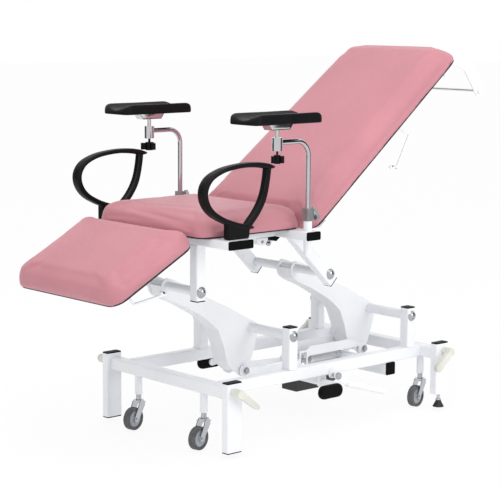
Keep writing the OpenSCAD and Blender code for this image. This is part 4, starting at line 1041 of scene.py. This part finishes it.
class CHAIR_OT_fittings(bpy.types.Operator):
    """Adds the link bar's bolts, the handles' sleeves and the weld beads of the base"""

    bl_idname = "chair.fittings"
    bl_label = "Small fittings"

    def execute(self, context):
        bolt = bolt_head("pattern", 8.5 * MM, 6 * MM)
        bolts = []
        for x in LINK_BOLTS_X:
            for side in (-1, 1):
                place = Matrix.Translation(spot(x, side * LINK_BOLTS_Y, LINK_BOLTS_Z))
                bolts.append(twin(bolt, "bolt", place @ turned_to((0, side, 0))))
        bpy.data.objects.remove(bolt)
        finish(joined("link_bar_bolts", bolts), body_of("link_bar"), finishes["bolt"])
        for name, start, end, body in (
                ("back_release_sleeve", back_spot(418, -240, -99), back_spot(394, -240, -76),
                 body_of("back_handle")),
                ("leg_release_sleeve", leg_spot(-167.6, -205, -78), leg_spot(-176.8, -205, -66),
                 body_of("leg_handle"))):
            finish(sleeve(name, start, end, GRIP_RADIUS), body, finishes["cap"])
        beads = []
        for x in BASE_POSTS_X:
            for y in (-BASE_POSTS_Y, BASE_POSTS_Y):
                ring = [spot(x + a * POST_HALF, y + b * POST_HALF, WELD_Z)
                        for a, b in ((-1, -1), (1, -1), (1, 1), (-1, 1), (-1, -1))]
                beads.append(bead("bead", ring, 1.6 * MM))
        finish(joined("weld_beads", beads), "base", finishes["coating"])
        return {"FINISHED"}


# The photograph's camera: its place in millimetres and its turns in degrees
CAMERA_PLACE = (-3279.07, -4061.94, 1382.34)
CAMERA_HEADING = -41.98
CAMERA_PITCH = 8.332
CAMERA_ROLL = 0.298
CAMERA_LENS = 119.65
CARD_SIZE = (2.6, 3.6)


class CHAIR_OT_stage(bpy.types.Operator):
    """Sets up the floor, the lamps and the camera"""

    bl_idname = "chair.stage"
    bl_label = "Stage and camera"

    def execute(self, context):
        scene = context.scene
        stage = scene.chair_stage
        floor = added("studio_floor", bpy.ops.mesh.primitive_plane_add, size=60)
        floor.data.materials.append(floor_paint(tuple(scene.chair_colours.floor)))
        lamp("top_lamp", (-0.9, -0.9, 3.6), (0.1, 0, 0.6), 3.2, stage.top_lamp)
        lamp("side_lamp", (1.2, -4.2, 2.1), (0, 0, 0.6), 2.4, stage.side_lamp)
        surround(scene, stage.sky)
        for side, place in (("left", (-2.6, 2.34, 1.3)), ("right", (2.6, -2.34, 1.3))):
            dark_card("dark_card_" + side, place)
        camera = bpy.data.cameras.new("photo_camera")
        camera.sensor_width = 36
        camera.lens = CAMERA_LENS
        camera.clip_end = 60
        seen = bpy.data.objects.new("photo_camera", camera)
        scene.collection.objects.link(seen)
        turn = (Matrix.Rotation(math.radians(CAMERA_HEADING), 4, "Z")
                @ Matrix.Rotation(math.radians(90 - CAMERA_PITCH), 4, "X")
                @ Matrix.Rotation(math.radians(CAMERA_ROLL), 4, "Z"))
        seen.matrix_world = Matrix.Translation(spot(*CAMERA_PLACE)) @ turn
        scene.camera = seen
        scene.view_settings.view_transform = "Standard"
        return {"FINISHED"}


def floor_paint(colour, glow=0.9):
    """A white floor on which only part of the shadow shows to the camera and in reflections."""
    made = Surface("studio_floor_paint")
    made.fixed(Metallic=0.0, Specular_IOR_Level=0.2)
    made.colour(made.tones(made.noise(0.6, 2), shade(colour, 0.995), shade(colour, 1.0)))
    made.roughness(made.span(made.noise(3, 2), 0.75, 0.85))
    material = made.done()
    share = made.node("ShaderNodeMath", operation="MULTIPLY")
    share.inputs[1].default_value = glow
    made.link(seen_directly(made.tree), share.inputs[0])
    white = made.node("ShaderNodeEmission")
    mix = made.node("ShaderNodeMixShader")
    made.link(share.outputs[0], mix.inputs["Fac"])
    made.link(made.shader.outputs[0], mix.inputs[1])
    made.link(white.outputs[0], mix.inputs[2])
    made.link(mix.outputs[0], made.out.inputs["Surface"])
    return material


def seen_directly(tree):
    """1 for what the camera sees, straight or by way of metal and glass, and 0 for the rest."""
    rays = tree.nodes.new("ShaderNodeLightPath")
    value = rays.outputs["Is Camera Ray"]
    for name in ("Is Glossy Ray", "Is Transmission Ray"):
        either = tree.nodes.new("ShaderNodeMath")
        either.operation = "MAXIMUM"
        tree.links.new(value, either.inputs[0])
        tree.links.new(rays.outputs[name], either.inputs[1])
        value = either.outputs[0]
    return value


def lamp(name, place, target, size, power):
    """A round area lamp that looks at the target."""
    data = bpy.data.lights.new(name, "AREA")
    data.shape = "DISK"
    data.size = size
    data.energy = power
    obj = bpy.data.objects.new(name, data)
    bpy.context.scene.collection.objects.link(obj)
    aim = Vector(target) - Vector(place)
    obj.matrix_world = Matrix.Translation(place) @ aim.to_track_quat("-Z", "Y").to_matrix().to_4x4()
    return obj


def dark_card(name, place):
    """A dark studio card that shows only as a band in bright metal."""
    card = added(name, bpy.ops.mesh.primitive_plane_add, size=1)
    side = Vector((place[0], place[1], 0)).normalized()
    card.data.transform(Matrix.Translation(place) @ turned_to(side)
                        @ Matrix.Diagonal((*CARD_SIZE, 1, 1)))
    made = Surface(name)
    made.fixed(Roughness=0.9)
    made.colour(made.tones(made.noise(2, 2), (0.02, 0.022, 0.03), (0.03, 0.032, 0.04)))
    card.data.materials.append(made.done())
    card.visible_camera = card.visible_diffuse = card.visible_shadow = False
    return card


def surround(scene, strength):
    """An even surround that looks white to the camera and in reflections."""
    world = scene.world or bpy.data.worlds.new("studio")
    scene.world = world
    world.use_nodes = True
    tree = world.node_tree
    tree.nodes.clear()
    out = tree.nodes.new("ShaderNodeOutputWorld")
    even = tree.nodes.new("ShaderNodeBackground")
    even.inputs["Strength"].default_value = strength
    white = tree.nodes.new("ShaderNodeBackground")
    white.inputs["Color"].default_value = (1, 1, 1, 1)
    mix = tree.nodes.new("ShaderNodeMixShader")
    tree.links.new(seen_directly(tree), mix.inputs["Fac"])
    tree.links.new(even.outputs[0], mix.inputs[1])
    tree.links.new(white.outputs[0], mix.inputs[2])
    tree.links.new(mix.outputs[0], out.inputs["Surface"])


OPERATORS = (CHAIR_OT_frames, CHAIR_OT_lift, CHAIR_OT_casters, CHAIR_OT_armrests,
             CHAIR_OT_arm_supports, CHAIR_OT_upholstery, CHAIR_OT_fittings, CHAIR_OT_stage)


class CHAIR_PT_panel(bpy.types.Panel):
    """The chair's settings and steps"""

    bl_idname = "CHAIR_PT_panel"
    bl_label = "Blood collection chair"
    bl_space_type = "VIEW_3D"
    bl_region_type = "UI"
    bl_category = "Chair"

    def draw(self, context):
        column = self.layout.column()
        scene = context.scene
        for group in (scene.chair_sizes, scene.chair_colours, scene.chair_stage):
            for name in group.bl_rna.properties.keys():
                if name not in ("rna_type", "name"):
                    column.prop(group, name)
        for step in OPERATORS:
            column.operator(step.bl_idname)


CLASSES = (ChairSizes, ChairColours, ChairStage, *OPERATORS, CHAIR_PT_panel)


def register():
    for item in CLASSES:
        bpy.utils.register_class(item)
    bpy.types.Scene.chair_sizes = bpy.props.PointerProperty(type=ChairSizes)
    bpy.types.Scene.chair_colours = bpy.props.PointerProperty(type=ChairColours)
    bpy.types.Scene.chair_stage = bpy.props.PointerProperty(type=ChairStage)


def unregister():
    for name in ("chair_stage", "chair_colours", "chair_sizes"):
        delattr(bpy.types.Scene, name)
    for item in reversed(CLASSES):
        bpy.utils.unregister_class(item)


def main():
    """Runs the panel's steps in their order."""
    register()
    mix_finishes(bpy.context.scene.chair_colours)
    bpy.ops.chair.frames()
    bpy.ops.chair.lift()
    bpy.ops.chair.casters()
    bpy.ops.chair.armrests()
    bpy.ops.chair.arm_supports()
    bpy.ops.chair.upholstery()
    bpy.ops.chair.fittings()
    bpy.ops.chair.stage()


if __name__ == "__main__":
    main()
